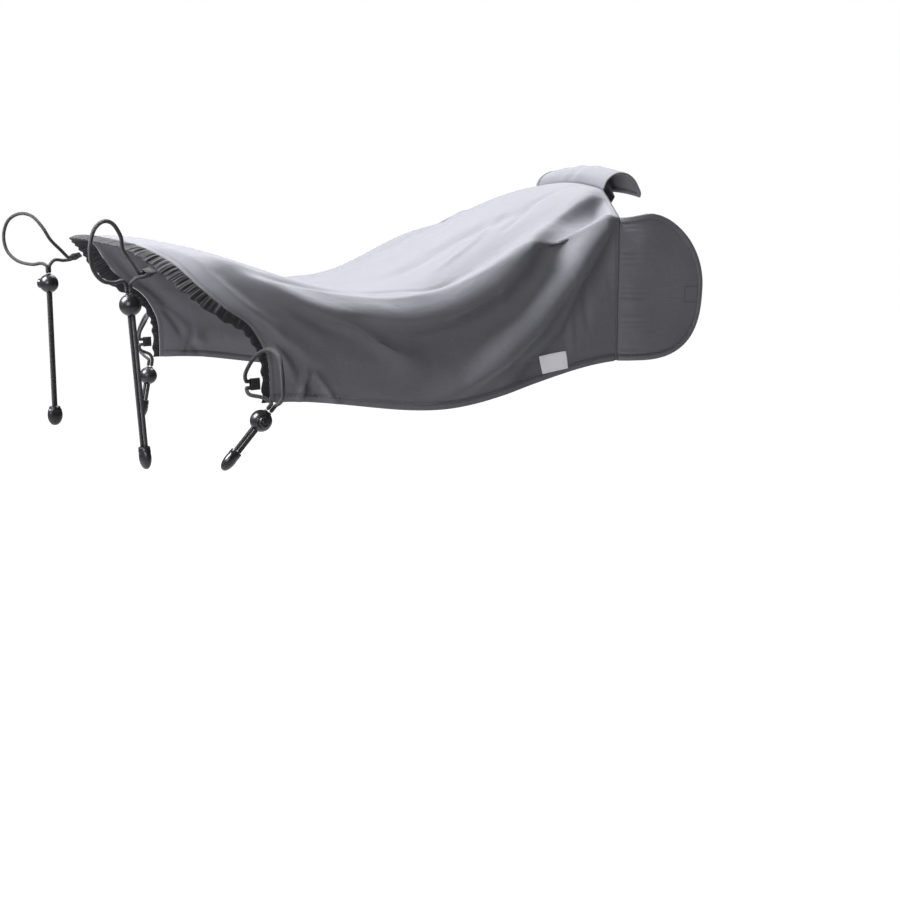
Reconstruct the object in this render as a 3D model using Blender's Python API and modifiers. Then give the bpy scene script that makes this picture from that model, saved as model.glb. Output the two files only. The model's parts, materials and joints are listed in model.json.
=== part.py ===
"""Sun shade: a cloth sail with three fold-over flaps at one end and four tied cords at the other.

Frame: metres, +X from the gathered edge towards the flaps, +Z up, +Y to the left. The origin is
the centre of the round space that the top flap closes round, under its middle.
"""
import math

import bmesh
import bpy
from mathutils import Matrix, Vector

# Cloth, seams and fits
CLOTH = 0.0010              # doubled woven cloth, with its hem
SEAM_GAP = 0.0008           # between two cloth edges that are sewn together
SEAT_GAP = 0.0003           # between pieces that lie on each other
HOOD_CLOTH = 0.0022         # cloth that an outer and an inner magnet grip between them

# Top seam, where sail, top flap and top tab meet
TOP_SEAM_X = -0.024
TOP_SEAM_HALF = 0.084
TOP_SEAM_Z = 0.011          # at its middle
TOP_SEAM_DROP = 0.008       # its ends lie this much lower

# Side seams, where sail, side flap and side tab meet
SIDE_SEAM_X = -0.060
SIDE_SEAM_Y = 0.182
SIDE_SEAM_TOP = -0.028
SIDE_SEAM_LENGTH = 0.1595

# Free front edge of the sail, left half, from its middle to the corner
FRONT_EDGE = (
    (-0.602, 0.000, -0.047),
    (-0.600, 0.060, -0.048),
    (-0.590, 0.130, -0.052),
    (-0.570, 0.170, -0.066),
    (-0.551, 0.200, -0.088),
    (-0.530, 0.214, -0.1085),
    (-0.507, 0.216, -0.125),
    (-0.4940, 0.217, -0.1445),
    (-0.4870, 0.219, -0.165),
    (-0.4860, 0.220, -0.205),
)

# Sag of the sail between its two ends, at the middle line and at the side hem
CENTRE_SAG = 0.079
CENTRE_SAG_AT = 0.53        # share of the way from the flaps to the gathered edge
HEM_SAG = 0.027
HEM_SAG_AT = 0.52
HEM_SAG_FROM = 0.15         # share across from which the hem's sag takes over
HEM_BELLY = 0.010           # the hem bows outwards by this much
SAG_POWER = 1.9             # how gently each sag sets in at its ends
FOLD_TURN = (0.35, 0.70)    # shares across between which folds turn from upwards to sideways
FOLD_FADE = 0.25            # share of a fold's length in which it rises and dies away

# Main folds: height, half width and the two ends, each as (share to the gathered edge, share to the hem)
FOLDS = (
    (0.010, 0.030, (0.00, 0.56), (0.50, 0.93)),
    (-0.012, 0.034, (0.02, 0.34), (0.52, 0.48)),
    (0.012, 0.026, (1.00, 0.44), (0.56, 0.88)),
    (-0.007, 0.022, (0.88, 0.72), (0.58, 0.74)),
)
SAIL_STEPS_LONG = 28
SAIL_STEPS_HALF = 10
SAIL_STEPS_TO_SEAMS = (3, 6)    # of those, as far as the top seam's end and the side seam's top

# Front casing: the black gathered strip along the free front edge
CASING_WIDTH = 0.018
CASING_TAPER = 0.55         # share of its width that it loses towards the corners
CASING_TAPER_FROM = 0.60    # where that starts, as a share of the way to the corner
CASING_TAPER_RUN = 0.25     # and how long it goes on
CASING_THICK = 0.0020
CASING_GAP = 0.0010
CASING_STEPS = 40
CASING_RUFFLE = 0.0014
CASING_RUFFLES = 11

# Round space that the top flap and the top tab close round
BOW_RADIUS = 0.0250
BOW_CENTRE_Z = 0.005
TOP_FLAP_ARC_END = 62.0     # degrees past the crest
TOP_FLAP_TAIL = 0.019       # straight stretch behind the round one
TOP_TAB_HALF = 0.030
TOP_TAB_ARC = (180, 335)    # degrees round that space, from its front underneath to its back
TOP_FLAP_CORNER = 0.16      # share of its length in which its sides curve in
TOP_FLAP_INSET = 0.10       # share of its width that it loses at its end
TOP_FLAP_CORNER_POWER = 2.2
SEAM_BLEND = 0.012          # from its seam to where its round stretch starts

# Side flaps: D-shaped, one down each side
FLAP_DEPTH = 0.105
FLAP_STRAIGHT = 0.025       # straight part of its top and bottom edges
FLAP_RISE = 0.005           # its top edge climbs this much
FLAP_RISE_LENGTH = 0.040
FLAP_STEP = 0.010           # outwards, just past the seam
FLAP_STEP_LENGTH = 0.012
FLAP_TURN_TOP = 2.0         # exponents of the D's upper and lower turns
FLAP_TURN_BOTTOM = 3.0
FLAP_TURN_POWER = 2.2

# Side tabs, inside the side flaps
TAB_HEIGHT = 0.050
TAB_POCKET_DEPTH = 0.026    # how far the tab bends inwards on its way
TAB_FLAT_BEFORE = 0.002     # it is flat from this far in front of its pocket
TAB_PAST_POCKET = 0.001

# Magnets, each in a square sewn pocket
MAGNET_RADIUS = 0.0060
MAGNET_THICK = 0.0015
POCKET_SIDE = 0.0175
TOP_POCKET_SIDE = 0.0145
POCKET_WALL = 0.0007
POCKET_CORNER = 0.0020
SIDE_MAGNET_FROM_END = 0.015
SIDE_MAGNET_X = SIDE_SEAM_X + FLAP_DEPTH - SIDE_MAGNET_FROM_END
SIDE_MAGNET_Z = -0.115
TOP_MAGNET_FROM_END = 0.0085

# Label on the right-hand side hem
LABEL_WIDTH = 0.0325
LABEL_HEIGHT = 0.0190
LABEL_THICK = 0.0006
LABEL_GAP = 0.0006
LABEL_FROM_HEM = 0.0040
LABEL_SLANT = 0.0025        # its far end sits this much further from the hem
LABEL_FROM_SEAM = 0.071

# Elastic cord, doubled
CORD_RADIUS = 0.0020
STRAND_GAP = 0.0004
STRAND_OFFSET = CORD_RADIUS + STRAND_GAP / 2
CORD_TAB = (0.0100, 0.0120, 0.0060)
TAB_GAP = 0.0008            # to the gathered edge of the casing

# Ball lock on each doubled cord
BALL_RADIUS = 0.0110
SLOT_CLEAR = 0.0004
BUTTON_RADIUS = 0.0057
BUTTON_CLEAR = 0.0003
BUTTON_PROUD = 0.0025
BUTTON_ROUND = 0.0012       # the rounding of its head's rim
BUTTON_TRAVEL = 0.0022
BUTTON_FLOOR = 0.0020       # solid end of the button, behind its slot
SPRING_ROOM = 0.0034
SPRING_RADIUS = 0.0040
SPRING_WIRE = 0.00035
SPRING_TURNS = 3
SPRING_STEPS = 8

# Flat oval cord end
END_WIDTH = 0.0190
END_THICK = 0.0120
END_LENGTH = 0.0250
END_CUT = 0.0020            # flat cut off its top, where the cords go in
SWIVEL_RISE = 0.0030        # the swing axis, above the ball

# Each cord set: where its tab sits on the front edge (0 at the right corner, 1 at the left one),
# the ball's centre, which way the tail hangs and the button points, the tail's length
# below the ball, and the routes of its two strands from the tab in a loop to the ball
CORD_SETS = {
    "left_bar": {
        "tab_at": 0.7675,
        "ball": (-0.6280, 0.1700, -0.1060),
        "down": (0.0, 0.0, -1.0),
        "button": (-1.0, 1.0, 0.0),
        "tail": 0.1350,
        "over": (
            (-0.6110, 0.1760, -0.0680),
            (-0.6240, 0.1700, -0.0550),
            (-0.6325, 0.1720, -0.0400),
            (-0.6424, 0.1812, -0.0275),
            (-0.6544, 0.1932, -0.0250),
            (-0.6657, 0.2045, -0.0330),
            (-0.6710, 0.2098, -0.0500),
            (-0.6686, 0.2074, -0.0680),
            (-0.6587, 0.1975, -0.0800),
            (-0.6445, 0.1833, -0.0840),
            (-0.6350, 0.1745, -0.0825),
        ),
        "under": (
            (-0.6080, 0.1815, -0.0800),
            (-0.6190, 0.1765, -0.0790),
        ),
    },
    "right_bar": {
        "tab_at": 0.2325,
        "ball": (-0.6110, -0.1700, -0.1070),
        "down": (0.06, 0.0, -1.0),
        "button": (1.0, 1.0, 0.0),
        "tail": 0.1310,
        "over": (
            (-0.6090, -0.1750, -0.0660),
            (-0.6170, -0.1720, -0.0520),
            (-0.6190, -0.1747, -0.0400),
            (-0.6284, -0.1842, -0.0275),
            (-0.6404, -0.1962, -0.0250),
            (-0.6517, -0.2075, -0.0330),
            (-0.6570, -0.2128, -0.0500),
            (-0.6546, -0.2104, -0.0680),
            (-0.6447, -0.2005, -0.0800),
            (-0.6305, -0.1863, -0.0840),
            (-0.6192, -0.1750, -0.0830),
        ),
        "under": (
            (-0.6060, -0.1800, -0.0805),
        ),
    },
    "left_tube": {
        "tab_at": 0.9757,
        "ball": (-0.4965, 0.2420, -0.2310),
        "down": (-0.2, 0.0, -1.0),
        "button": (0.0, 1.0, 0.0),
        "tail": 0.0200,
        "over": (
            (-0.5100, 0.2215, -0.1730),
            (-0.5010, 0.2260, -0.1590),
            (-0.4940, 0.2410, -0.1520),
            (-0.4950, 0.2600, -0.1590),
            (-0.5010, 0.2690, -0.1780),
            (-0.5030, 0.2640, -0.1970),
            (-0.4990, 0.2510, -0.2060),
        ),
        "under": (
            (-0.5090, 0.2265, -0.1960),
            (-0.4955, 0.2340, -0.2030),
        ),
    },
    "right_tube": {
        "tab_at": 0.0243,
        "ball": (-0.5030, -0.2420, -0.2190),
        "down": (-0.66, 0.0, -0.75),
        "button": (0.0, -1.0, 0.0),
        "tail": 0.0270,
        "over": (
            (-0.5110, -0.2215, -0.1730),
            (-0.5020, -0.2260, -0.1570),
            (-0.4930, -0.2410, -0.1490),
            (-0.4890, -0.2600, -0.1550),
            (-0.4890, -0.2690, -0.1740),
            (-0.4870, -0.2640, -0.1920),
            (-0.4860, -0.2530, -0.2000),
        ),
        "under": (
            (-0.5095, -0.2270, -0.1945),
            (-0.4990, -0.2350, -0.1970),
        ),
    },
}
ROUTE_SPACING = 0.010       # 2 to 3 cord diameters between a tube's points
STRAIGHT_OUT = 0.004        # each strand leaves its tab and meets its swing axis straight
STRAIGHT_IN = 0.006
TIP_DEPTHS = (0.5, 0.85, 0.97)  # its round tip, in cord radii past the swing axis

PART = "pram_sun_shade"
GREY = (0.165, 0.165, 0.185)
BLACK_CLOTH = (0.018, 0.018, 0.020)
ELASTIC = (0.020, 0.020, 0.022)
PLASTIC = (0.012, 0.012, 0.014)
STEEL = (0.55, 0.55, 0.56)
WHITE = (0.86, 0.86, 0.86)


def start_empty():
    """Remove every object and make the two collections."""
    for obj in list(bpy.data.objects):
        bpy.data.objects.remove(obj, do_unlink=True)
    for name in (PART, "cutters"):
        bpy.context.scene.collection.children.link(bpy.data.collections.new(name))


def material(name, colour, roughness, metallic=0.0):
    """A Principled material, viewed in the same colour."""
    made = bpy.data.materials.new(name)
    made.use_nodes = True
    shader = made.node_tree.nodes["Principled BSDF"]
    shader.inputs["Base Color"].default_value = (*colour, 1.0)
    shader.inputs["Roughness"].default_value = roughness
    shader.inputs["Metallic"].default_value = metallic
    made.diffuse_color = (*colour, 1.0)
    return made


def add_object(name, data, finish, matrix=None):
    """Put a mesh or a curve in the part's collection."""
    obj = bpy.data.objects.new(name, data)
    bpy.data.collections[PART].objects.link(obj)
    if matrix is not None:
        obj.matrix_world = matrix
    if not data.materials:
        data.materials.append(finish)
    return obj


def mesh_from(shape, name):
    """A smooth-shaded mesh of a finished bmesh, sharp along its corners."""
    mesh = bpy.data.meshes.new(name)
    shape.to_mesh(mesh)
    shape.free()
    mesh.shade_smooth()
    mesh.set_sharp_from_angle(angle=math.radians(40))
    return mesh


def cut_mesh(name, mesh, cutters):
    """The mesh less its cutters, each a bmesh, by exact Booleans."""
    body = bpy.data.objects.new(name + "_blank", mesh)
    bpy.data.collections["cutters"].objects.link(body)
    tools = []
    for number, cutter in enumerate(cutters):
        tool = bpy.data.objects.new(f"{name}_cutter_{number}", mesh_from(cutter, name + "_cutter"))
        bpy.data.collections["cutters"].objects.link(tool)
        modifier = body.modifiers.new("cut", "BOOLEAN")
        modifier.object = tool
        modifier.operation = "DIFFERENCE"
        modifier.solver = "EXACT"
        tools.append(tool)
    scene_now = bpy.context.evaluated_depsgraph_get()
    result = bpy.data.meshes.new_from_object(body.evaluated_get(scene_now))
    result.name = name
    for used in (*tools, body):
        bpy.data.objects.remove(used, do_unlink=True)
    return result


def box_shape(low, high):
    """A box as a bmesh, from its lowest to its highest corner."""
    low, high = Vector(low), Vector(high)
    shape = bmesh.new()
    bmesh.ops.create_cube(shape, size=1.0)
    bmesh.ops.scale(shape, vec=high - low, verts=shape.verts)
    bmesh.ops.translate(shape, vec=(low + high) / 2, verts=shape.verts)
    return shape


def disc_shape(radius, low, high, along_x=False, segments=24):
    """A cylinder as a bmesh, along Z or X, from low to high."""
    shape = bmesh.new()
    bmesh.ops.create_cone(
        shape, cap_ends=True, segments=segments, radius1=radius, radius2=radius, depth=high - low)
    bmesh.ops.translate(shape, vec=(0, 0, (low + high) / 2), verts=shape.verts)
    if along_x:
        bmesh.ops.rotate(shape, matrix=Matrix.Rotation(math.pi / 2, 3, "Y"), verts=shape.verts)
    return shape


def frame_matrix(origin, axis_x, axis_z):
    """A placing matrix with the given Z direction, and X as near as it gets to the given one."""
    axis_z = Vector(axis_z).normalized()
    axis_y = axis_z.cross(Vector(axis_x)).normalized()
    axis_x = axis_y.cross(axis_z)
    turn = Matrix((axis_x, axis_y, axis_z)).transposed().to_4x4()
    return Matrix.Translation(origin) @ turn


def smooth_step(value):
    """0 below 0, 1 above 1 and a smooth rise between."""
    value = min(max(value, 0.0), 1.0)
    return value * value * (3 - 2 * value)


def smooth_line(points, per_stretch=12):
    """A dense smooth line through hand-chosen points (Catmull-Rom)."""
    points = [Vector(point) for point in points]
    ends = [2 * points[0] - points[1], *points, 2 * points[-1] - points[-2]]
    line = []
    for before, start, end, after in zip(ends, ends[1:], ends[2:], ends[3:]):
        for step in range(per_stretch):
            share = step / per_stretch
            line.append(0.5 * (
                2 * start
                + (end - before) * share
                + (2 * before - 5 * start + 4 * end - after) * share ** 2
                + (3 * start - before - 3 * end + after) * share ** 3))
    line.append(points[-1])
    return line


def along(line, share):
    """The point at a share of a line's length."""
    lengths = [(end - start).length for start, end in zip(line, line[1:])]
    left = share * sum(lengths)
    for start, end, length in zip(line, line[1:], lengths):
        if left <= length:
            return start.lerp(end, left / length)
        left -= length
    return line[-1].copy()


def line_length(line):
    return sum((end - start).length for start, end in zip(line, line[1:]))


def top_seam_point(share):
    """The top seam's left half, a low arch from its middle to its end."""
    y = share * TOP_SEAM_HALF
    return Vector((TOP_SEAM_X, y, TOP_SEAM_Z - TOP_SEAM_DROP * share ** 2))


TOP_SEAM_LINE = [top_seam_point(step / 6) for step in range(7)]
SIDE_SEAM_LINE = [
    Vector((SIDE_SEAM_X, SIDE_SEAM_Y, SIDE_SEAM_TOP)),
    Vector((SIDE_SEAM_X, SIDE_SEAM_Y, SIDE_SEAM_TOP - SIDE_SEAM_LENGTH)),
]
REAR_LINE = TOP_SEAM_LINE + SIDE_SEAM_LINE
FRONT_LINE = smooth_line(FRONT_EDGE)
REAR_LENGTH = line_length(REAR_LINE)
TOP_SEAM_SHARE = line_length(TOP_SEAM_LINE) / REAR_LENGTH
SIDE_SEAM_SHARE = 1 - SIDE_SEAM_LENGTH / REAR_LENGTH
SAIL_LENGTH = (FRONT_LINE[0] - REAR_LINE[0]).length


def sag(share, lowest_at):
    """0 at both ends and 1 at its lowest place."""
    warped = share ** (math.log(0.5) / math.log(lowest_at))
    return max(math.sin(math.pi * warped), 0.0) ** SAG_POWER


def fold_height(share, across):
    """The main folds' height above the plain sail."""
    height = 0.0
    here = Vector((share * SAIL_LENGTH, across * REAR_LENGTH))
    for peak, half_width, first, last in FOLDS:
        start = Vector((first[0] * SAIL_LENGTH, first[1] * REAR_LENGTH))
        run = Vector((last[0] * SAIL_LENGTH, last[1] * REAR_LENGTH)) - start
        place = (here - start).dot(run) / run.length_squared
        nearest = start + run * min(max(place, 0.0), 1.0)
        fade = smooth_step(place / FOLD_FADE) * smooth_step((1 - place) / FOLD_FADE)
        height += peak * fade * math.exp(-((here - nearest).length / half_width) ** 2)
    return height


def sail_point(share, across):
    """A point of the sail: share 0 at the flaps and 1 at the gathered edge, across -1 to 1."""
    side = math.copysign(1.0, across)
    half = abs(across)
    point = along(REAR_LINE, half).lerp(along(FRONT_LINE, half), share)
    to_hem = smooth_step((half - HEM_SAG_FROM) / (1 - HEM_SAG_FROM))
    point.z -= CENTRE_SAG * sag(share, CENTRE_SAG_AT) * (1 - to_hem)
    point.z -= HEM_SAG * sag(share, HEM_SAG_AT) * to_hem
    point.y += HEM_BELLY * sag(share, HEM_SAG_AT) * half ** 2
    first, last = FOLD_TURN
    turn = math.pi / 2 * smooth_step((half - first) / (last - first))
    point += fold_height(share, half) * Vector((0, math.sin(turn), math.cos(turn)))
    return Vector((point.x, point.y * side, point.z))


def sail_normal(share, across):
    """The sail's outward direction, up on top and sideways on the sides."""
    step = 0.01
    share = min(max(share, step), 1 - step)
    across = min(max(across, step - 1), 1 - step)
    long_way = sail_point(share - step, across) - sail_point(share + step, across)
    cross_way = sail_point(share, across + step) - sail_point(share, across - step)
    return long_way.cross(cross_way).normalized()


def cloth(name, steps, place, thickness, finish):
    """A sheet from a grid, each point moved to its place, and thickened both ways."""
    shape = bmesh.new()
    bmesh.ops.create_grid(shape, x_segments=steps[0], y_segments=steps[1], size=1.0)
    for vert in shape.verts:
        vert.co = place((vert.co.x + 1) / 2, (vert.co.y + 1) / 2)
    obj = add_object(name, mesh_from(shape, name), finish)
    wall = obj.modifiers.new("thickness", "SOLIDIFY")
    wall.thickness = thickness
    wall.offset = 0.0
    wall.use_even_offset = True
    return obj


def sail_across(place):
    """Spread grid lines so that some fall on the ends of the seams."""
    side = place * 2 - 1
    half = abs(side) * SAIL_STEPS_HALF
    top, low = SAIL_STEPS_TO_SEAMS
    if half <= top:
        share = half / top * TOP_SEAM_SHARE
    elif half <= low:
        share = TOP_SEAM_SHARE + (half - top) / (low - top) * (SIDE_SEAM_SHARE - TOP_SEAM_SHARE)
    else:
        share = SIDE_SEAM_SHARE + (half - low) / (SAIL_STEPS_HALF - low) * (1 - SIDE_SEAM_SHARE)
    return math.copysign(share, side)


def make_sail(finish):
    cloth(
        "main_sail", (SAIL_STEPS_LONG, 2 * SAIL_STEPS_HALF),
        lambda a, b: sail_point(a, sail_across(b)), CLOTH, finish)


def edge_frame(place):
    """On the free front edge, 0 at its right corner to 1 at its left corner: the point on the
    sail's own edge, the edge's direction, straight out of the cloth, and up."""
    steps = 2 * SAIL_STEPS_HALF
    first = min(int(place * steps), steps - 1)
    start, end = (sail_point(1, sail_across(number / steps)) for number in (first, first + 1))
    step = 0.5 / steps
    low, high = (sail_across(min(max(place + change, 0), 1)) for change in (-step, step))
    direction = (sail_point(1, high) - sail_point(1, low)).normalized()
    up = sail_normal(1, sail_across(place))
    out = direction.cross(up).normalized()
    if out.dot(sail_point(1, sail_across(place)) - sail_point(0.96, sail_across(place))) < 0:
        out = -out
    return start.lerp(end, place * steps - first), direction, out, direction.cross(out).normalized()


def casing_width(place):
    """The casing narrows towards the two corners."""
    from_middle = abs(place - 0.5) * 2
    return CASING_WIDTH * (1 - CASING_TAPER * smooth_step((from_middle - CASING_TAPER_FROM) / CASING_TAPER_RUN))


def make_casing(finish):
    def place(a, b):
        point, _, out, up = edge_frame(a)
        ruffle = CASING_RUFFLE * b * math.sin(2 * math.pi * CASING_RUFFLES * a)
        return point + out * (CASING_GAP + b * casing_width(a)) + up * ruffle
    cloth("front_casing", (CASING_STEPS, 2), place, CASING_THICK, finish)


FLAP_RADIUS = BOW_RADIUS + CLOTH / 2 + SEAT_GAP
TOP_END = math.radians(TOP_FLAP_ARC_END)


def top_flap_line(run):
    """The top flap's side view: from the seam round its curve, then straight down behind it."""
    seam = Vector((TOP_SEAM_X + SEAM_GAP, TOP_SEAM_Z - BOW_CENTRE_Z))
    start = math.atan2(seam.x, seam.y)
    arc = FLAP_RADIUS * (TOP_END - start)
    length = run * (arc + TOP_FLAP_TAIL)
    angle = start + min(length, arc) / FLAP_RADIUS
    radius = FLAP_RADIUS + (seam.length - FLAP_RADIUS) * (1 - smooth_step(length / SEAM_BLEND))
    rest = max(length - arc, 0.0)
    return (
        radius * math.sin(angle) + rest * math.cos(TOP_END),
        BOW_CENTRE_Z + radius * math.cos(angle) - rest * math.sin(TOP_END))


def make_top_flap(finish):
    def place(a, b):
        side = b * 2 - 1
        x, z = top_flap_line(a)
        into_corner = max((a - (1 - TOP_FLAP_CORNER)) / TOP_FLAP_CORNER, 0.0)
        inset = TOP_FLAP_INSET * into_corner ** TOP_FLAP_CORNER_POWER
        y = TOP_SEAM_HALF * side * (1 - inset)
        return Vector((x, y, z + top_seam_point(y / TOP_SEAM_HALF).z - TOP_SEAM_Z))
    cloth("top_flap", (18, 8), place, CLOTH, finish)


def tail_point(run, depth):
    """A point of the top flap's straight stretch, moved inwards by depth, in side view."""
    return Vector((
        FLAP_RADIUS * math.sin(TOP_END) + run * math.cos(TOP_END) - depth * math.sin(TOP_END),
        BOW_CENTRE_Z
        + FLAP_RADIUS * math.cos(TOP_END) - run * math.sin(TOP_END) - depth * math.cos(TOP_END)))


POCKET_DEPTH = POCKET_WALL + SEAT_GAP + MAGNET_THICK
FLAP_TO_TAB = CLOTH + 2 * (SEAT_GAP + POCKET_DEPTH) + HOOD_CLOTH + 2 * SEAT_GAP


def make_top_tab(finish):
    """The inner tab: down the seam, under that curve, and up again against the flap's magnets."""
    radius = BOW_RADIUS + CLOTH
    first, last = TOP_TAB_ARC
    angles = [math.radians(first + (last - first) * step / 6) for step in range(7)]
    seam = (TOP_SEAM_X, TOP_SEAM_Z - CLOTH / 2 - SEAT_GAP)
    under_bow = [(radius * math.cos(angle), BOW_CENTRE_Z + radius * math.sin(angle)) for angle in angles]
    low = tail_point(TOP_FLAP_TAIL - SEAT_GAP, FLAP_TO_TAB)
    high = tail_point(TOP_FLAP_TAIL - TOP_POCKET_SIDE - 2 * SEAT_GAP, FLAP_TO_TAB)
    side_view = (seam, *under_bow, low, low.lerp(high, 0.5), high)
    line = smooth_line([Vector((x, z)) for x, z in side_view])

    def place(a, b):
        point = along(line, a)
        y = TOP_TAB_HALF * (b * 2 - 1)
        return Vector((point.x, y, point.y + top_seam_point(y / TOP_SEAM_HALF).z - TOP_SEAM_Z))
    cloth("top_tab", (30, 2), place, CLOTH, finish)


def flap_y(x):
    """How far out the side flap's middle surface lies."""
    from_seam = (x - SIDE_SEAM_X) / FLAP_STEP_LENGTH
    return SIDE_SEAM_Y + FLAP_STEP * (1 - math.exp(-max(from_seam, 0.0)))


def flap_reach(height):
    """The D's rear edge, at a height from -1 at its bottom to 1 at its top."""
    turn = FLAP_TURN_TOP if height > 0 else FLAP_TURN_BOTTOM
    bulge = max(1 - abs(height) ** turn, 0.0) ** (1 / FLAP_TURN_POWER)
    return SIDE_SEAM_X + FLAP_STRAIGHT + (FLAP_DEPTH - FLAP_STRAIGHT) * bulge


def make_side_flap(name, side, finish):
    half = SIDE_SEAM_LENGTH / 2
    middle = SIDE_SEAM_TOP - half

    def place(a, b):
        height = math.sin((b - 0.5) * math.pi)
        start = SIDE_SEAM_X + SEAM_GAP
        x = start + a ** 1.3 * (flap_reach(height) - start)
        rise = FLAP_RISE * smooth_step((x - SIDE_SEAM_X) / FLAP_RISE_LENGTH) * max(height, 0.0) ** 3
        return Vector((x, side * flap_y(x), middle + half * height + rise))
    cloth(name, (9, 14), place, CLOTH, finish)


def make_side_tab(name, side, finish):
    """The inner tab: inwards in a bend, then flat alongside its flap."""
    start = SIDE_SEAM_X + SEAM_GAP
    flat_from = SIDE_MAGNET_X - POCKET_SIDE / 2 - TAB_FLAT_BEFORE
    end = SIDE_MAGNET_X + POCKET_SIDE / 2 + TAB_PAST_POCKET
    seam_y = SIDE_SEAM_Y - CLOTH - SEAT_GAP
    flat_y = flap_y(SIDE_MAGNET_X) - FLAP_TO_TAB

    def place(a, b):
        x = start + a * (end - start)
        share = smooth_step((x - start) / (flat_from - start))
        curve = math.sin(math.pi * min((x - start) / (flat_from - start), 1.0)) ** 2
        y = seam_y + (flat_y - seam_y) * share - TAB_POCKET_DEPTH * curve
        return Vector((x, side * y, SIDE_MAGNET_Z + (b - 0.5) * TAB_HEIGHT))
    cloth(name, (22, 2), place, CLOTH, finish)


def pocket_mesh(name, side_length):
    """A square pocket, open at Z = 0 towards its cloth, with room for a magnet."""
    half = side_length / 2
    shape = box_shape((-half, -half, -POCKET_DEPTH), (half, half, 0))
    edges = [edge for edge in shape.edges if abs(edge.verts[0].co.z - edge.verts[1].co.z) > 1e-6]
    bmesh.ops.bevel(
        shape, geom=edges, offset=POCKET_CORNER, offset_type="OFFSET", segments=2, profile=0.5,
        affect="EDGES", material=-1)
    room = disc_shape(MAGNET_RADIUS + SEAT_GAP, POCKET_WALL - POCKET_DEPTH, POCKET_DEPTH)
    return cut_mesh(name, mesh_from(shape, name), [room])


def magnet_matrix(place, outwards):
    """A pocket's frame: its open side faces its cloth."""
    across = Vector((0, 0, 1)) if abs(outwards.y) > 0.5 else Vector((0, 1, 0))
    return frame_matrix(place, across, outwards)


def make_magnets(cloth_finish, steel_finish):
    """An outer and an inner magnet at each of the three fastenings, each in its pocket."""
    side_pocket = pocket_mesh("side_pocket", POCKET_SIDE)
    top_pocket = pocket_mesh("top_pocket", TOP_POCKET_SIDE)
    disc = mesh_from(disc_shape(MAGNET_RADIUS, -MAGNET_THICK, 0), "magnet")
    reach = CLOTH / 2 + SEAT_GAP
    places = {}
    for name, side in (("left", 1), ("right", -1)):
        out = Vector((0, side, 0))
        flap = Vector((SIDE_MAGNET_X, side * flap_y(SIDE_MAGNET_X), SIDE_MAGNET_Z))
        places[name + "_flap"] = (flap - out * reach, out, side_pocket)
        places[name + "_tab"] = (flap - out * (FLAP_TO_TAB - reach), -out, side_pocket)
    out = Vector((math.sin(TOP_END), 0, math.cos(TOP_END)))
    run = TOP_FLAP_TAIL - TOP_MAGNET_FROM_END
    for name, depth, sign in (("top_flap", reach, 1), ("top_tab", FLAP_TO_TAB - reach, -1)):
        point = tail_point(run, depth)
        places[name] = (Vector((point.x, 0, point.y)), out * sign, top_pocket)
    for name, (place, outwards, pocket) in places.items():
        matrix = magnet_matrix(place, outwards)
        add_object(name + "_pocket", pocket, cloth_finish, matrix)
        add_object(name + "_magnet", disc, steel_finish, matrix)


def make_label(finish):
    """A small blank label, sewn over the right-hand hem."""
    hem_length = (sail_point(1, -1) - sail_point(0, -1)).length
    lift = CLOTH / 2 + LABEL_GAP + LABEL_THICK / 2

    def place(a, b):
        share = (LABEL_FROM_SEAM + a * LABEL_WIDTH) / hem_length
        across = -1 + (LABEL_FROM_HEM + a * LABEL_SLANT + b * LABEL_HEIGHT) / REAR_LENGTH
        return sail_point(share, across) + sail_normal(share, across) * lift
    cloth("label", (6, 4), place, LABEL_THICK, finish)


def strand(points):
    """A smooth route through hand-chosen points, whose first and last stretches stay straight."""
    dense = smooth_line(points)
    per_stretch = (len(dense) - 1) // (len(points) - 1)
    line = dense[per_stretch:-per_stretch]
    count = max(round(line_length(line) / ROUTE_SPACING), 2)
    return [points[0], *(along(line, step / count) for step in range(count + 1)), points[-1]]


def cord_object(name, route, radius, finish, resolution=2, tip=()):
    """A tube with filled caps along a route; tip holds the widths of its last points."""
    curve = bpy.data.curves.new(name, "CURVE")
    curve.dimensions = "3D"
    curve.bevel_depth = radius
    curve.bevel_resolution = resolution
    curve.use_fill_caps = True
    spline = curve.splines.new("POLY")
    spline.points.add(len(route) - 1)
    for point, place in zip(spline.points, route):
        point.co = (*place, 1.0)
    for point, width in zip(list(spline.points)[len(route) - len(tip):], tip):
        point.radius = width
    return add_object(name, curve, finish)


def ball_mesh():
    """The lock's ball: a slot for the two strands along Z, a blind bore for the button along X."""
    shape = bmesh.new()
    bmesh.ops.create_uvsphere(shape, u_segments=20, v_segments=12, radius=BALL_RADIUS)
    bottom = -CORD_RADIUS - SLOT_CLEAR / 2 - BUTTON_FLOOR - SPRING_ROOM
    bore = disc_shape(BUTTON_RADIUS + BUTTON_CLEAR, bottom, 2 * BALL_RADIUS, along_x=True, segments=20)
    return cut_mesh("ball", mesh_from(shape, "ball"), [bore, slot_shape(0.0)])


def slot_shape(extra):
    """The slot that both strands pass through, longer towards the button's head by extra."""
    half = CORD_RADIUS + SLOT_CLEAR
    width = STRAND_OFFSET + CORD_RADIUS + SLOT_CLEAR
    return box_shape((-half, -width, -2 * BALL_RADIUS), (half + extra, width, 2 * BALL_RADIUS))


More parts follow.
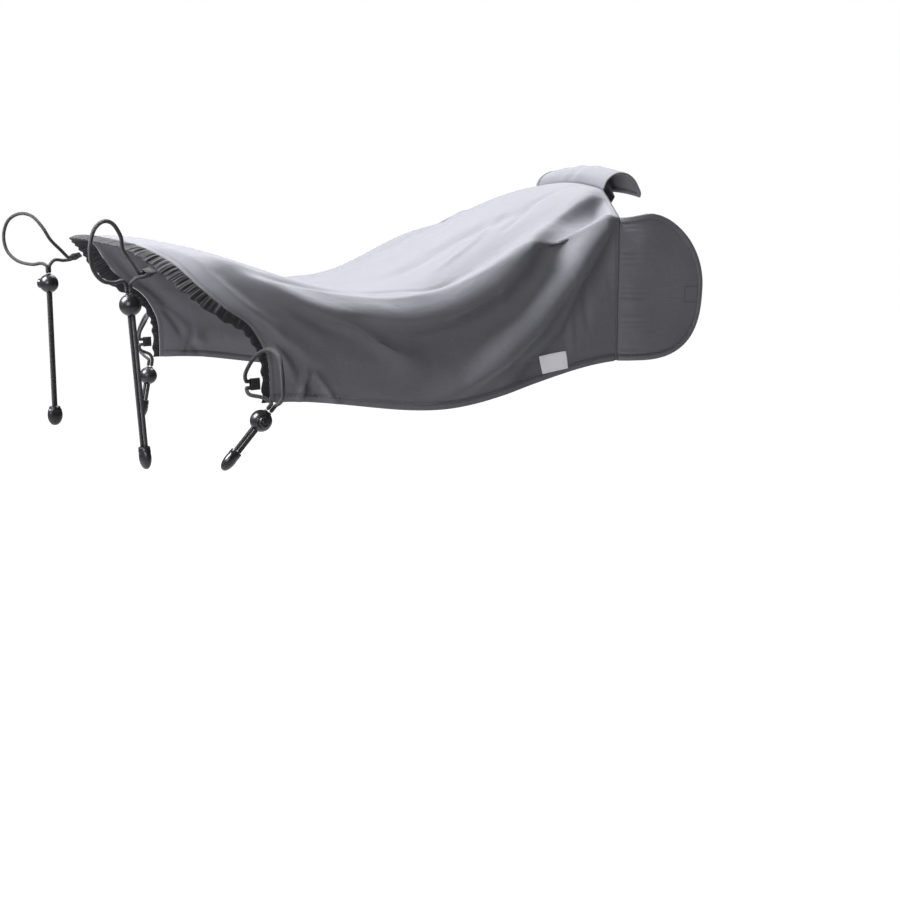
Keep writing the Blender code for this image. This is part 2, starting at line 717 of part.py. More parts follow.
def button_mesh():
    """The lock's button: a slotted plunger with a rounded head."""
    inner = -CORD_RADIUS - SLOT_CLEAR / 2 - BUTTON_FLOOR
    shape = disc_shape(BUTTON_RADIUS, inner, BALL_RADIUS + BUTTON_PROUD, along_x=True, segments=20)
    rim = [edge for edge in shape.edges if min(vert.co.x for vert in edge.verts) > BALL_RADIUS]
    bmesh.ops.bevel(
        shape, geom=rim, offset=BUTTON_ROUND, offset_type="OFFSET", segments=2, profile=0.5,
        affect="EDGES", material=-1)
    return cut_mesh("button", mesh_from(shape, "button"), [slot_shape(BUTTON_TRAVEL)])


def spring_route():
    """A coil between the bore's floor and the button's inner end, along X."""
    inner = -CORD_RADIUS - SLOT_CLEAR / 2 - BUTTON_FLOOR
    clear = SEAT_GAP + SPRING_WIRE
    count = SPRING_TURNS * SPRING_STEPS
    route = []
    for step in range(count + 1):
        turn = 2 * math.pi * step / SPRING_STEPS
        x = inner - SPRING_ROOM + clear + (SPRING_ROOM - 2 * clear) * step / count
        route.append(Vector((x, SPRING_RADIUS * math.cos(turn), SPRING_RADIUS * math.sin(turn))))
    return route


def end_mesh():
    """The flat oval cord end, its flat top at Z = 0."""
    shape = bmesh.new()
    bmesh.ops.create_uvsphere(shape, u_segments=16, v_segments=10, radius=0.5)
    bmesh.ops.scale(shape, vec=(END_THICK, END_WIDTH, END_LENGTH), verts=shape.verts)
    top = END_LENGTH / 2 - END_CUT
    everything = [*shape.verts, *shape.edges, *shape.faces]
    cut = bmesh.ops.bisect_plane(
        shape, geom=everything, plane_co=(0, 0, top), plane_no=(0, 0, 1), clear_outer=True)
    rim = [item for item in cut["geom_cut"] if isinstance(item, bmesh.types.BMEdge)]
    bmesh.ops.edgeloop_fill(shape, edges=rim)
    bmesh.ops.translate(shape, vec=(0, 0, -top), verts=shape.verts)
    bmesh.ops.recalc_face_normals(shape, faces=shape.faces)
    return mesh_from(shape, "cord_end")


def make_cord_sets(elastic, plastic, steel, webbing):
    """Tab, loop, lock, button, spring, tail and cord end of each of the four sets."""
    ball, button, end = ball_mesh(), button_mesh(), end_mesh()
    for name, cord in CORD_SETS.items():
        down = Vector(cord["down"]).normalized()
        lock = frame_matrix(Vector(cord["ball"]), cord["button"], -down)
        side = lock.to_3x3().col[1]
        swivel = Vector(cord["ball"]) - down * (BALL_RADIUS + SWIVEL_RISE)

        edge, direction, out, up = edge_frame(cord["tab_at"])
        tab_start = edge + out * (CASING_GAP + casing_width(cord["tab_at"]) + TAB_GAP)
        length, width, thick = CORD_TAB
        tab = mesh_from(box_shape((0, -width / 2, -thick / 2), (length, width / 2, thick / 2)), "tab")
        add_object(name + "_cord_tab", tab, webbing, frame_matrix(tab_start, out, up))

        exit_point = tab_start + out * (length + SEAT_GAP)
        apart = direction * math.copysign(STRAND_OFFSET + CORD_RADIUS / 2, direction.z)
        first = CORD_RADIUS + SEAT_GAP
        last = BALL_RADIUS + SWIVEL_RISE + BALL_RADIUS + cord["tail"]
        for key, sign in (("over", 1), ("under", -1)):
            start = exit_point + apart * sign
            joint = swivel + side * STRAND_OFFSET * sign
            route = strand([start, start + out * STRAIGHT_OUT, *cord[key], joint - down * STRAIGHT_IN, joint])
            dome = [joint + down * CORD_RADIUS * depth for depth in TIP_DEPTHS]
            widths = [math.sqrt(1 - depth ** 2) for depth in TIP_DEPTHS]
            cord_object(f"{name}_loop_{key}", route + dome, CORD_RADIUS, elastic, tip=widths)
            tail = [joint + down * (first + (last - first) * step / 2) for step in range(3)]
            cord_object(f"{name}_tail_{key}", tail, CORD_RADIUS, elastic)

        add_object(name + "_lock", ball, plastic, lock)
        add_object(name + "_button", button, plastic, lock)
        spring = cord_object(name + "_spring", spring_route(), SPRING_WIRE, steel, resolution=0)
        spring.matrix_world = lock
        end_place = swivel + down * (last + SEAT_GAP)
        add_object(name + "_cord_end", end, plastic, frame_matrix(end_place, cord["button"], -down))


def build():
    start_empty()
    grey = material("grey_cloth", GREY, 0.85)
    black = material("black_cloth", BLACK_CLOTH, 0.9)
    elastic = material("black_elastic", ELASTIC, 0.8)
    plastic = material("black_plastic", PLASTIC, 0.25)
    steel = material("steel", STEEL, 0.3, 1.0)
    white = material("white_tape", WHITE, 0.8)
    make_sail(grey)
    make_casing(black)
    make_top_flap(grey)
    make_top_tab(grey)
    for name, side in (("left", 1), ("right", -1)):
        make_side_flap(name + "_side_flap", side, grey)
        make_side_tab(name + "_side_tab", side, grey)
    make_magnets(grey, steel)
    make_label(white)
    make_cord_sets(elastic, plastic, steel, black)


build()
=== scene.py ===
"""Sun shade, dressed: woven grey sail and flaps, gathered front casing, braided cords.

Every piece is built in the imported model's own frame: metres, +X from the gathered edge to the
flaps, +Z up.
"""
import json
import math

import bmesh
import bpy
import numpy as np
from mathutils import Matrix, Vector


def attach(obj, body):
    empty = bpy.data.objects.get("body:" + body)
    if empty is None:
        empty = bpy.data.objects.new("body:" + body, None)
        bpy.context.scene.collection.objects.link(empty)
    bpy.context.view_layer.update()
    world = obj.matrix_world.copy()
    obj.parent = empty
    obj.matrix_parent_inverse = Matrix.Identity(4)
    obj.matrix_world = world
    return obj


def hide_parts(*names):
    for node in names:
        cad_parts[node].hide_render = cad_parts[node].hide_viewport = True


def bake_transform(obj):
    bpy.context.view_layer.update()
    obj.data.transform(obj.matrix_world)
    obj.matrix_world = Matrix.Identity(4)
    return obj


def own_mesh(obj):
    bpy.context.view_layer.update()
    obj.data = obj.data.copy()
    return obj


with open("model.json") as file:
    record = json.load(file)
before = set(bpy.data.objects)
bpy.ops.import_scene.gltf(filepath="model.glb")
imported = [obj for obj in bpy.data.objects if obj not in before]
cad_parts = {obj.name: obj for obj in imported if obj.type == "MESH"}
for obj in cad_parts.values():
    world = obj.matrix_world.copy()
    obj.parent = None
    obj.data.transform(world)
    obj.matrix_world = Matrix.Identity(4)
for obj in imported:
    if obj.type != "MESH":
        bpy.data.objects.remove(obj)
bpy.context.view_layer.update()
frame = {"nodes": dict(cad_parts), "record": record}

# Camera, as the photograph was taken
CAMERA_PLACE = (-0.950, -1.640, 0.013)
CAMERA_PITCH = 79.83
CAMERA_YAW = -25.0
LENS = 60.0

# Studio. The camera sees floor and world at about 1, the object gets WORLD_LEVEL from the world.
FLOOR_LEVEL = -0.95
FLOOR_HALF = 7.0
FLOOR_GREY = 0.45
FLOOR_GLOW = 0.95
WORLD_LEVEL = 0.14
LAMPS = {                   # place, target, size, power and colour
    "key_light": ((-1.65, 0.25, 1.10), (-0.3, 0, -0.05), (1.1, 1.1), 105, (1.0, 0.99, 1.0)),
    "back_light": ((0.20, 1.50, 1.90), (-0.3, 0, 0.0), (2.4, 1.8), 118, (1, 1, 1)),
    "front_fill": ((-2.0, -2.0, 0.6), (-0.3, 0, -0.1), (1.2, 1.2), 29, (1, 1, 1))}

# Cloth and seams
CLOTH = 0.0010
SEAM_GAP = 0.0008
SEAT_GAP = 0.0003
SEAM_DIP = 0.0009           # how far stitches pull the cloth in at a seam
SEAM_DIP_REACH = 0.0015
HEM_CLOTH = 0.0003
PATCH_CLOTH = 0.0006
TAPE_CLOTH = 0.0007
TOP_SEAM_X = -0.024
TOP_SEAM_HALF = 0.084
TOP_SEAM_Z = 0.011
TOP_SEAM_DROP = 0.008
SIDE_SEAM_X = -0.060
SIDE_SEAM_Y = 0.182
SIDE_SEAM_TOP = -0.028
SIDE_SEAM_LENGTH = 0.1595
FRONT_EDGE = (
    (-0.602, 0.000, -0.047), (-0.600, 0.060, -0.048), (-0.590, 0.130, -0.052),
    (-0.570, 0.170, -0.066), (-0.551, 0.200, -0.088), (-0.530, 0.214, -0.1085),
    (-0.507, 0.216, -0.125), (-0.4940, 0.217, -0.1445), (-0.4870, 0.219, -0.165),
    (-0.4860, 0.220, -0.205))
CENTRE_SAG = 0.079
CENTRE_SAG_AT = 0.53
HEM_SAG = 0.027
HEM_SAG_AT = 0.52
HEM_SAG_FROM = 0.15
HEM_BELLY = 0.010
SAG_POWER = 1.9
TURN_FROM, TURN_RUN = 0.35, 0.35     # where folds turn from upright to sideways
FOLD_FADE = 0.25
MAIN_FOLDS = (                       # height, half width and the two ends, as shares
    (0.010, 0.030, (0.00, 0.56), (0.50, 0.93)),
    (-0.012, 0.034, (0.02, 0.34), (0.52, 0.48)),
    (0.012, 0.026, (1.00, 0.44), (0.56, 0.88)),
    (-0.007, 0.022, (0.88, 0.72), (0.58, 0.74)))

# Colours, as they are written on the cloth, cord and plastic
CLOTH_COLOUR = (0.118, 0.119, 0.137)
CLOTH_LIGHT = (0.158, 0.159, 0.180)
BLACK_CLOTH = (0.012, 0.012, 0.014)
ELASTIC = (0.014, 0.014, 0.016)
PLASTIC = (0.010, 0.010, 0.012)
STEEL = (0.60, 0.60, 0.61)
TAPE = (0.93, 0.93, 0.97)
THREAD = (0.16, 0.16, 0.18)
STITCH_INSET = 0.0055
STITCH_LENGTH = 0.0030
STITCH_SHARE = 0.62         # of its length that a stitch lies on top
THREAD_HALF = 0.00045
GROOVE = (0.0014, 0.0003)
HEM_STEP = (0.0016, 0.0008)
BRAID_PITCH = 0.0016
BRAID_STRANDS = 8
WAVE_PERIOD = 10            # a wave texture at scale 1 repeats after 2 pi / 10


# Helpers: lines, sheets and tubes
def smooth_step(value):
    value = np.clip(value, 0.0, 1.0)
    return value * value * (3 - 2 * value)


def smooth_line(points, per_stretch=12):
    """A dense smooth line through given points (Catmull-Rom)."""
    points = [Vector(point) for point in points]
    ends = [2 * points[0] - points[1], *points, 2 * points[-1] - points[-2]]
    line = []
    for before, start, end, after in zip(ends, ends[1:], ends[2:], ends[3:]):
        for step in range(per_stretch):
            share = step / per_stretch
            line.append(0.5 * (
                2 * start + (end - before) * share
                + (2 * before - 5 * start + 4 * end - after) * share ** 2
                + (3 * start - before - 3 * end + after) * share ** 3))
    line.append(points[-1])
    return line


def line_length(line):
    return sum((end - start).length for start, end in zip(line, line[1:]))


def at_shares(line, shares):
    """Points of a line at shares of its length, as an array."""
    points = np.array([tuple(point) for point in line])
    lengths = np.concatenate(([0], np.cumsum(np.linalg.norm(np.diff(points, axis=0), axis=1))))
    place = np.asarray(shares) * lengths[-1]
    axes = range(points.shape[1])
    return np.stack([np.interp(place, lengths, points[:, axis]) for axis in axes], -1)


def grid_shape(steps, place, size=(1.0, 1.0), edges=None):
    """A sheet from a grid: place turns its two shares into points, and its UV map is in metres.
    edges gives a second map: metres along the nearest sewn edge, and the distance from it."""
    shape = bmesh.new()
    bmesh.ops.create_grid(shape, x_segments=steps[0], y_segments=steps[1], size=1.0, calc_uvs=True)
    layer = shape.loops.layers.uv.verify()
    shape.verts.ensure_lookup_table()
    shares = np.array([(vert.co.x, vert.co.y) for vert in shape.verts]) / 2 + 0.5
    for face in shape.faces:
        for loop in face.loops:
            u, v = shares[loop.vert.index]
            loop[layer].uv = (u * size[0], v * size[1])
    if edges is not None:
        second = shape.loops.layers.uv.new("edges")
        along, away = edges(shares[:, 0], shares[:, 1])
        for face in shape.faces:
            for loop in face.loops:
                loop[second].uv = (along[loop.vert.index], away[loop.vert.index])
    points = place(shares[:, 0], shares[:, 1])
    for vert, point in zip(shape.verts, points):
        vert.co = point
    return shape


def add_piece(name, shape, finish, smooth=True):
    """A new object from a finished bmesh."""
    mesh = bpy.data.meshes.new(name)
    shape.to_mesh(mesh)
    shape.free()
    if smooth:
        mesh.shade_smooth()
    obj = bpy.data.objects.new(name, mesh)
    bpy.context.scene.collection.objects.link(obj)
    mesh.materials.append(finish)
    return obj


def thicken(obj, thickness, offset=0.0):
    wall = obj.modifiers.new("cloth", "SOLIDIFY")
    wall.thickness = thickness
    wall.offset = offset
    return obj


def sheet_normals(points, rows, columns):
    """Outward directions of a grid of points, columns fastest."""
    net = points.reshape(rows, columns, 3)
    across = np.gradient(net, axis=1)
    long_way = np.gradient(net, axis=0)
    normal = np.cross(across, long_way)
    normal /= np.maximum(np.linalg.norm(normal, axis=2, keepdims=True), 1e-9)
    return normal.reshape(-1, 3)


def tube(name, line, radius, finish, around=14, spacing=0.0018, caps=(0.0005, 0.0005)):
    """A closed tube along a line, its UV map in metres along and a share around. caps is how much
    of its length rounds off at each end."""
    length = line_length(line)
    count = max(int(length / spacing), 6)
    dome = 3
    centre = at_shares(line, np.linspace(caps[0] / length, 1 - caps[1] / length, count + 1))
    ways = np.gradient(centre, axis=0)
    ways /= np.linalg.norm(ways, axis=1, keepdims=True)
    side = np.zeros_like(ways)
    side[0] = Vector(ways[0]).orthogonal().normalized()
    for step in range(1, len(ways)):
        turned = side[step - 1] - ways[step] * side[step - 1].dot(ways[step])
        side[step] = turned / np.linalg.norm(turned)
    other = np.cross(ways, side)
    total = count + 1 + 2 * dome

    def place(a, b):
        step = np.rint(a * (total - 1)).astype(int)
        row = np.clip(step - dome, 0, count)
        past = np.minimum(step - dome, 0) + np.maximum(step - dome - count, 0)
        angle = np.abs(past) / dome * math.pi / 2
        wide = np.maximum(radius * np.cos(angle), radius * 0.02)
        ahead = np.sign(past) * np.where(past < 0, *caps) * np.sin(angle)
        core = centre[row] + ways[row] * ahead[:, None]
        turn = b * 2 * math.pi
        return core + (
            side[row] * (np.cos(turn) * wide)[:, None] + other[row] * (np.sin(turn) * wide)[:, None])
    shape = grid_shape((total - 1, around), place, (length, 1.0))
    bmesh.ops.remove_doubles(shape, verts=shape.verts, dist=radius * 0.05)
    bmesh.ops.recalc_face_normals(shape, faces=shape.faces)
    return add_piece(name, shape, finish)


def spun(profile, steps=48, along_x=True):
    """A solid of revolution about X or Z from a profile of (place on the axis, radius)."""
    shape = bmesh.new()
    rings = [shape.verts.new((0, wide, place)) for place, wide in profile]
    edges = [shape.edges.new(pair) for pair in zip(rings, rings[1:])]
    bmesh.ops.spin(
        shape, geom=[*rings, *edges], cent=(0, 0, 0), axis=(0, 0, 1), angle=2 * math.pi, steps=steps,
        use_merge=True)
    bmesh.ops.remove_doubles(shape, verts=shape.verts, dist=0.000002)
    if along_x:
        bmesh.ops.rotate(shape, matrix=Matrix.Rotation(math.pi / 2, 3, "Y"), verts=shape.verts)
    bmesh.ops.recalc_face_normals(shape, faces=shape.faces)
    return shape


def box_shape(low, high):
    low, high = Vector(low), Vector(high)
    shape = bmesh.new()
    bmesh.ops.create_cube(shape, size=1.0)
    bmesh.ops.scale(shape, vec=high - low, verts=shape.verts)
    bmesh.ops.translate(shape, vec=(low + high) / 2, verts=shape.verts)
    return shape


def carved(shape, cutters):
    """The shape less its cutters, by exact Booleans."""
    holders = []
    for part in (shape, *cutters):
        mesh = bpy.data.meshes.new("blank")
        part.to_mesh(mesh)
        part.free()
        holders.append(bpy.data.objects.new("blank", mesh))
        bpy.context.scene.collection.objects.link(holders[-1])
    for tool in holders[1:]:
        cut = holders[0].modifiers.new("cut", "BOOLEAN")
        cut.object = tool
        cut.solver = "EXACT"
    evaluated = holders[0].evaluated_get(bpy.context.evaluated_depsgraph_get())
    result = bpy.data.meshes.new_from_object(evaluated)
    shape = bmesh.new()
    shape.from_mesh(result)
    for used in holders:
        bpy.data.objects.remove(used, do_unlink=True)
    bpy.data.meshes.remove(result)
    return shape


def frame_matrix(origin, axis_x, axis_z):
    """A placing matrix with the given Z direction, and X as near as it gets to the given one."""
    axis_z = Vector(axis_z).normalized()
    axis_y = axis_z.cross(Vector(axis_x)).normalized()
    axis_x = axis_y.cross(axis_z)
    turn = Matrix((axis_x, axis_y, axis_z)).transposed().to_4x4()
    return Matrix.Translation(origin) @ turn


# Helpers: materials
class Finish:
    """A node material: small calls for the nodes that every finish here uses."""

    def __init__(self, name, colour, roughness):
        self.made = bpy.data.materials.new(name)
        self.made.use_nodes = True
        self.tree = self.made.node_tree
        self.shader = self.tree.nodes["Principled BSDF"]
        self.shader.inputs["Base Color"].default_value = (*colour, 1.0)
        self.shader.inputs["Roughness"].default_value = roughness
        self.made.diffuse_color = (*colour, 1.0)

    def node(self, kind, inputs=(), **settings):
        made = self.tree.nodes.new(kind)
        for key, value in settings.items():
            setattr(made, key, value)
        for key, value in dict(inputs).items():
            if isinstance(value, bpy.types.NodeSocket):
                self.tree.links.new(value, made.inputs[key])
            else:
                made.inputs[key].default_value = value
        return made

    def socket(self, **values):
        for key, value in values.items():
            self.shader.inputs[key.replace("_", " ")].default_value = value

    def place(self, uv=True, scale=(1, 1, 1), turn=0.0):
        source = self.node("ShaderNodeTexCoord").outputs["UV" if uv else "Object"]
        return self.node(
            "ShaderNodeMapping", {"Vector": source, "Scale": scale, "Rotation": (0, 0, turn)}).outputs[0]

    def noise(self, place, scale, detail=2.0, rough=0.5):
        return self.node(
            "ShaderNodeTexNoise", {"Vector": place, "Scale": scale, "Detail": detail, "Roughness": rough}
        ).outputs["Fac"]

    def wave(self, place, scale, direction, distortion=0.0):
        return self.node(
            "ShaderNodeTexWave", {"Vector": place, "Scale": scale, "Distortion": distortion},
            bands_direction=direction, wave_profile="SIN").outputs["Fac"]

    def reckon(self, first, second, operation="ADD"):
        return self.node("ShaderNodeMath", {0: first, 1: second}, operation=operation).outputs[0]

    def spread(self, value, low, high, new_low=0.0, new_high=1.0):
        limits = {"From Min": low, "From Max": high, "To Min": new_low, "To Max": new_high}
        return self.node("ShaderNodeMapRange", {"Value": value, **limits}).outputs[0]

    def mix(self, share, first, second):
        first, second = ((*end, 1) if isinstance(end, tuple) else end for end in (first, second))
        return self.node("ShaderNodeMix", {0: share, 6: first, 7: second}, data_type="RGBA").outputs[2]

    def colour(self, value):
        self.tree.links.new(value, self.shader.inputs["Base Color"])

    def roughness(self, value):
        self.tree.links.new(value, self.shader.inputs["Roughness"])

    def bump(self, height, depth, strength=1.0, under=None):
        inputs = {"Height": height, "Distance": depth, "Strength": strength}
        if under is not None:
            inputs["Normal"] = under
        made = self.node("ShaderNodeBump", inputs).outputs[0]
        self.tree.links.new(made, self.shader.inputs["Normal"])
        return made


def shade_of(colour, times):
    return tuple(value * times for value in colour)


def woven_cloth(name):
    """Grey polyester cloth: fine crossed threads, slubs and faint creases, and along its sewn
    edges a turned-in strip with a line of stitches."""
    finish = Finish(name, CLOTH_COLOUR, 0.52)
    flat = finish.place()
    threads = finish.reckon(finish.wave(flat, 310.0, "X", 0.6), finish.wave(flat, 290.0, "Y", 0.6))
    slubs = finish.reckon(
        finish.noise(finish.place(scale=(60, 1400, 1)), 1.0, 2.0),
        finish.noise(finish.place(scale=(1400, 60, 1)), 1.0, 2.0))
    blotch = finish.noise(flat, 9.0, 3.0)
    tone = finish.reckon(
        finish.spread(slubs, 0.7, 1.3, 0.25, 0.75), finish.spread(blotch, 0.3, 0.7, -0.12, 0.12))
    colour = finish.mix(tone, CLOTH_COLOUR, CLOTH_LIGHT)
    finish.roughness(finish.spread(slubs, 0.6, 1.4, 0.54, 0.68))
    crumple = finish.noise(finish.place(scale=(1, 1.6, 1)), 42.0, 4.0, 0.55)
    streaks = finish.noise(finish.place(scale=(1, 0.22, 1), turn=0.5), 150.0, 3.0, 0.6)
    under = finish.bump(crumple, 0.0020, 0.45)
    under = finish.bump(streaks, 0.0006, 0.45, under)
    under = finish.bump(threads, 0.00012, 0.7, under)

    edge_map = finish.node("ShaderNodeUVMap", uv_map="edges").outputs[0]
    split = finish.node("ShaderNodeSeparateXYZ", {"Vector": edge_map})
    along, away = split.outputs[0], split.outputs[1]
    from_line = finish.reckon(finish.reckon(away, STITCH_INSET, "SUBTRACT"), 0.0, "ABSOLUTE")
    groove = finish.spread(from_line, *GROOVE)
    in_stitch = finish.reckon(finish.reckon(along, 1 / STITCH_LENGTH, "MULTIPLY"), 1.0, "FRACT")
    dash = finish.reckon(in_stitch, STITCH_SHARE, "LESS_THAN")
    thread = finish.reckon(dash, finish.reckon(from_line, THREAD_HALF, "LESS_THAN"), "MULTIPLY")
    shadow = finish.reckon(groove, 0.55, "MULTIPLY")
    colour = finish.mix(shadow, colour, shade_of(CLOTH_COLOUR, 0.4))
    colour = finish.mix(thread, colour, THREAD)
    turned_in = finish.spread(away, STITCH_INSET + HEM_STEP[0], STITCH_INSET + HEM_STEP[1])
    under = finish.bump(turned_in, 0.0004, 0.8, under)
    finish.bump(finish.reckon(thread, groove, "SUBTRACT"), 0.0003, 0.9, under)
    finish.colour(colour)
    finish.socket(Sheen_Weight=0.22, Sheen_Roughness=0.4, Specular_IOR_Level=0.30)
    finish.shader.inputs["Sheen Tint"].default_value = (0.86, 0.86, 0.96, 1)
    return finish.made


def gathered_cloth(name):
    """Dull black cloth with a fine weave and some fuzz, for the casing and the cord tabs."""
    finish = Finish(name, BLACK_CLOTH, 0.75)
    flat = finish.place()
    threads = finish.reckon(finish.wave(flat, 330.0, "X"), finish.wave(flat, 300.0, "Y"))
    fuzz = finish.noise(flat, 120.0, 3.0)
    finish.colour(finish.mix(fuzz, BLACK_CLOTH, shade_of(BLACK_CLOTH, 2.2)))
    under = finish.bump(fuzz, 0.0005, 0.4)
    finish.bump(threads, 0.00012, 0.8, under)
    finish.socket(Sheen_Weight=0.12, Sheen_Roughness=0.5, Specular_IOR_Level=0.3)
    return finish.made


def braided_elastic(name):
    """A round braid: two crossed families of eight ribs that wind round the cord, with painted shade between
    the ribs and painted highlight on their crests.
    """
    finish = Finish(name, ELASTIC, 0.6)
    lengthwise = 2 * math.pi / (WAVE_PERIOD * BRAID_PITCH)
    around = 2 * math.pi * BRAID_STRANDS / WAVE_PERIOD
    left = finish.wave(finish.place(scale=(lengthwise, around, 0)), 1.0, "DIAGONAL")
    right = finish.wave(finish.place(scale=(lengthwise, -around, 0)), 1.0, "DIAGONAL")
    ribs = finish.reckon(left, right, "MAXIMUM")
    fleck = finish.noise(finish.place(scale=(900, 40, 1)), 1.0, 2.0)
    # Colour follows the ribs: painted shade between them and painted highlight on their crests, plus random
    # flecks.
    tone = finish.reckon(ribs, finish.spread(fleck, 0.5, 0.75, 0.0, 0.5))
    finish.colour(finish.mix(tone, shade_of(ELASTIC, 0.4), shade_of(ELASTIC, 2.2)))
    finish.roughness(finish.spread(fleck, 0.3, 0.7, 0.5, 0.7))
    finish.bump(ribs, 0.0005, 0.9)
    finish.socket(Sheen_Weight=0.15, Sheen_Roughness=0.5, Specular_IOR_Level=0.35)
    return finish.made


def moulded_plastic(name):
    """Glossy black plastic with faint wear, for locks, buttons and cord ends."""
    finish = Finish(name, PLASTIC, 0.22)
    grain = finish.noise(finish.place(uv=False), 900.0, 2.0)
    wear = finish.noise(finish.place(uv=False), 60.0, 3.0)
    finish.roughness(finish.spread(wear, 0.3, 0.7, 0.17, 0.34))
    finish.colour(finish.mix(wear, PLASTIC, shade_of(PLASTIC, 1.8)))
    finish.bump(grain, 0.00005, 0.25)
    finish.socket(Specular_IOR_Level=0.55)
    return finish.made


def plain_steel(name):
    """Drawn spring wire with fine lengthwise scratches."""
    finish = Finish(name, STEEL, 0.3)
    finish.socket(Metallic=1.0)
    scratch = finish.noise(finish.place(uv=False, scale=(1, 40, 1)), 300.0, 2.0)
    finish.roughness(finish.spread(scratch, 0.3, 0.7, 0.22, 0.40))
    finish.bump(scratch, 0.00003, 0.3)
    return finish.made


def satin_tape(name):
    """White ribbed tape, for the blank label."""
    finish = Finish(name, TAPE, 0.5)
    flat = finish.place()
    ribs = finish.wave(flat, 420.0, "Y")
    mottle = finish.noise(flat, 200.0, 3.0)
    finish.colour(finish.mix(mottle, shade_of(TAPE, 0.93), TAPE))
    finish.bump(ribs, 0.00008, 0.6)
    finish.socket(Sheen_Weight=0.2, Specular_IOR_Level=0.4)
    return finish.made


# The sail's plain shape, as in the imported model
TOP_SEAM_STEPS = 6
TOP_SEAM_LINE = [
    Vector((TOP_SEAM_X, share * TOP_SEAM_HALF, TOP_SEAM_Z - TOP_SEAM_DROP * share ** 2))
    for share in (step / TOP_SEAM_STEPS for step in range(TOP_SEAM_STEPS + 1))]
REAR_LINE = TOP_SEAM_LINE + [
    Vector((SIDE_SEAM_X, SIDE_SEAM_Y, SIDE_SEAM_TOP)),
    Vector((SIDE_SEAM_X, SIDE_SEAM_Y, SIDE_SEAM_TOP - SIDE_SEAM_LENGTH))]
FRONT_LINE = smooth_line(FRONT_EDGE)
REAR_LENGTH = line_length(REAR_LINE)
SIDE_SEAM_SHARE = 1 - SIDE_SEAM_LENGTH / REAR_LENGTH
TOP_SEAM_SHARE = line_length(TOP_SEAM_LINE) / REAR_LENGTH
SAIL_LENGTH = (FRONT_LINE[0] - REAR_LINE[0]).length


def sag(share, lowest_at):
    """How much of its sag a sheet has at a share of its length: 0 at the ends, 1 at the lowest place."""
    warped = np.clip(share, 0, 1) ** (math.log(0.5) / math.log(lowest_at))
    return np.maximum(np.sin(math.pi * warped), 0.0) ** SAG_POWER


def from_polyline(here, line):
    """Distance from a line, how far along it the nearest place is (0 to 1), and the side."""
    best = np.full(len(here), 1e9)
    place = np.zeros(len(here))
    side = np.ones(len(here))
    lengths = [np.linalg.norm(end - start) for start, end in zip(line, line[1:])]
    done = 0.0
    for start, end, length in zip(line, line[1:], lengths):
        run = end - start
        share = np.clip(((here - start) @ run) / (length * length), 0, 1)
        away = here - (start + share[:, None] * run)
        distance = np.linalg.norm(away, axis=1)
        closer = distance < best
        best[closer] = distance[closer]
        place[closer] = (done + share * length)[closer] / sum(lengths)
        turn = run[0] * away[:, 1] - run[1] * away[:, 0]
        side[closer] = np.sign(turn)[closer]
        done += length
    return best, place, side


def main_folds(share, half):
    """Height of the main folds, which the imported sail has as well."""
    here = np.stack([share * SAIL_LENGTH, half * REAR_LENGTH], 1)
    height = np.zeros(len(here))
    for peak, half_width, first, last in MAIN_FOLDS:
        start = np.array((first[0] * SAIL_LENGTH, first[1] * REAR_LENGTH))
        run = np.array((last[0] * SAIL_LENGTH, last[1] * REAR_LENGTH)) - start
        place = ((here - start) @ run) / (run @ run)
        nearest = start + np.clip(place, 0, 1)[:, None] * run
        fade = smooth_step(place / FOLD_FADE) * smooth_step((1 - place) / FOLD_FADE)
        away = np.linalg.norm(here - nearest, axis=1)
        height += peak * fade * np.exp(-(away / half_width) ** 2)
    return height


def plain_sail(share, across):
    """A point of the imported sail: share 0 at the flaps and 1 at the gathered edge, across -1 to 1."""
    side = np.where(across < 0, -1.0, 1.0)
    half = np.abs(across)
    rear = at_shares(REAR_LINE, half)
    front = at_shares(FRONT_LINE, half)
    point = rear + (front - rear) * share[:, None]
    to_hem = smooth_step((half - HEM_SAG_FROM) / (1 - HEM_SAG_FROM))
    point[:, 2] -= CENTRE_SAG * sag(share, CENTRE_SAG_AT) * (1 - to_hem)
    point[:, 2] -= HEM_SAG * sag(share, HEM_SAG_AT) * to_hem
    point[:, 1] += HEM_BELLY * sag(share, HEM_SAG_AT) * half ** 2
    turn = math.pi / 2 * smooth_step((half - TURN_FROM) / TURN_RUN)
    height = main_folds(share, half)
    point[:, 1] += height * np.sin(turn)
    point[:, 2] += height * np.cos(turn)
    point[:, 1] *= side
    return point


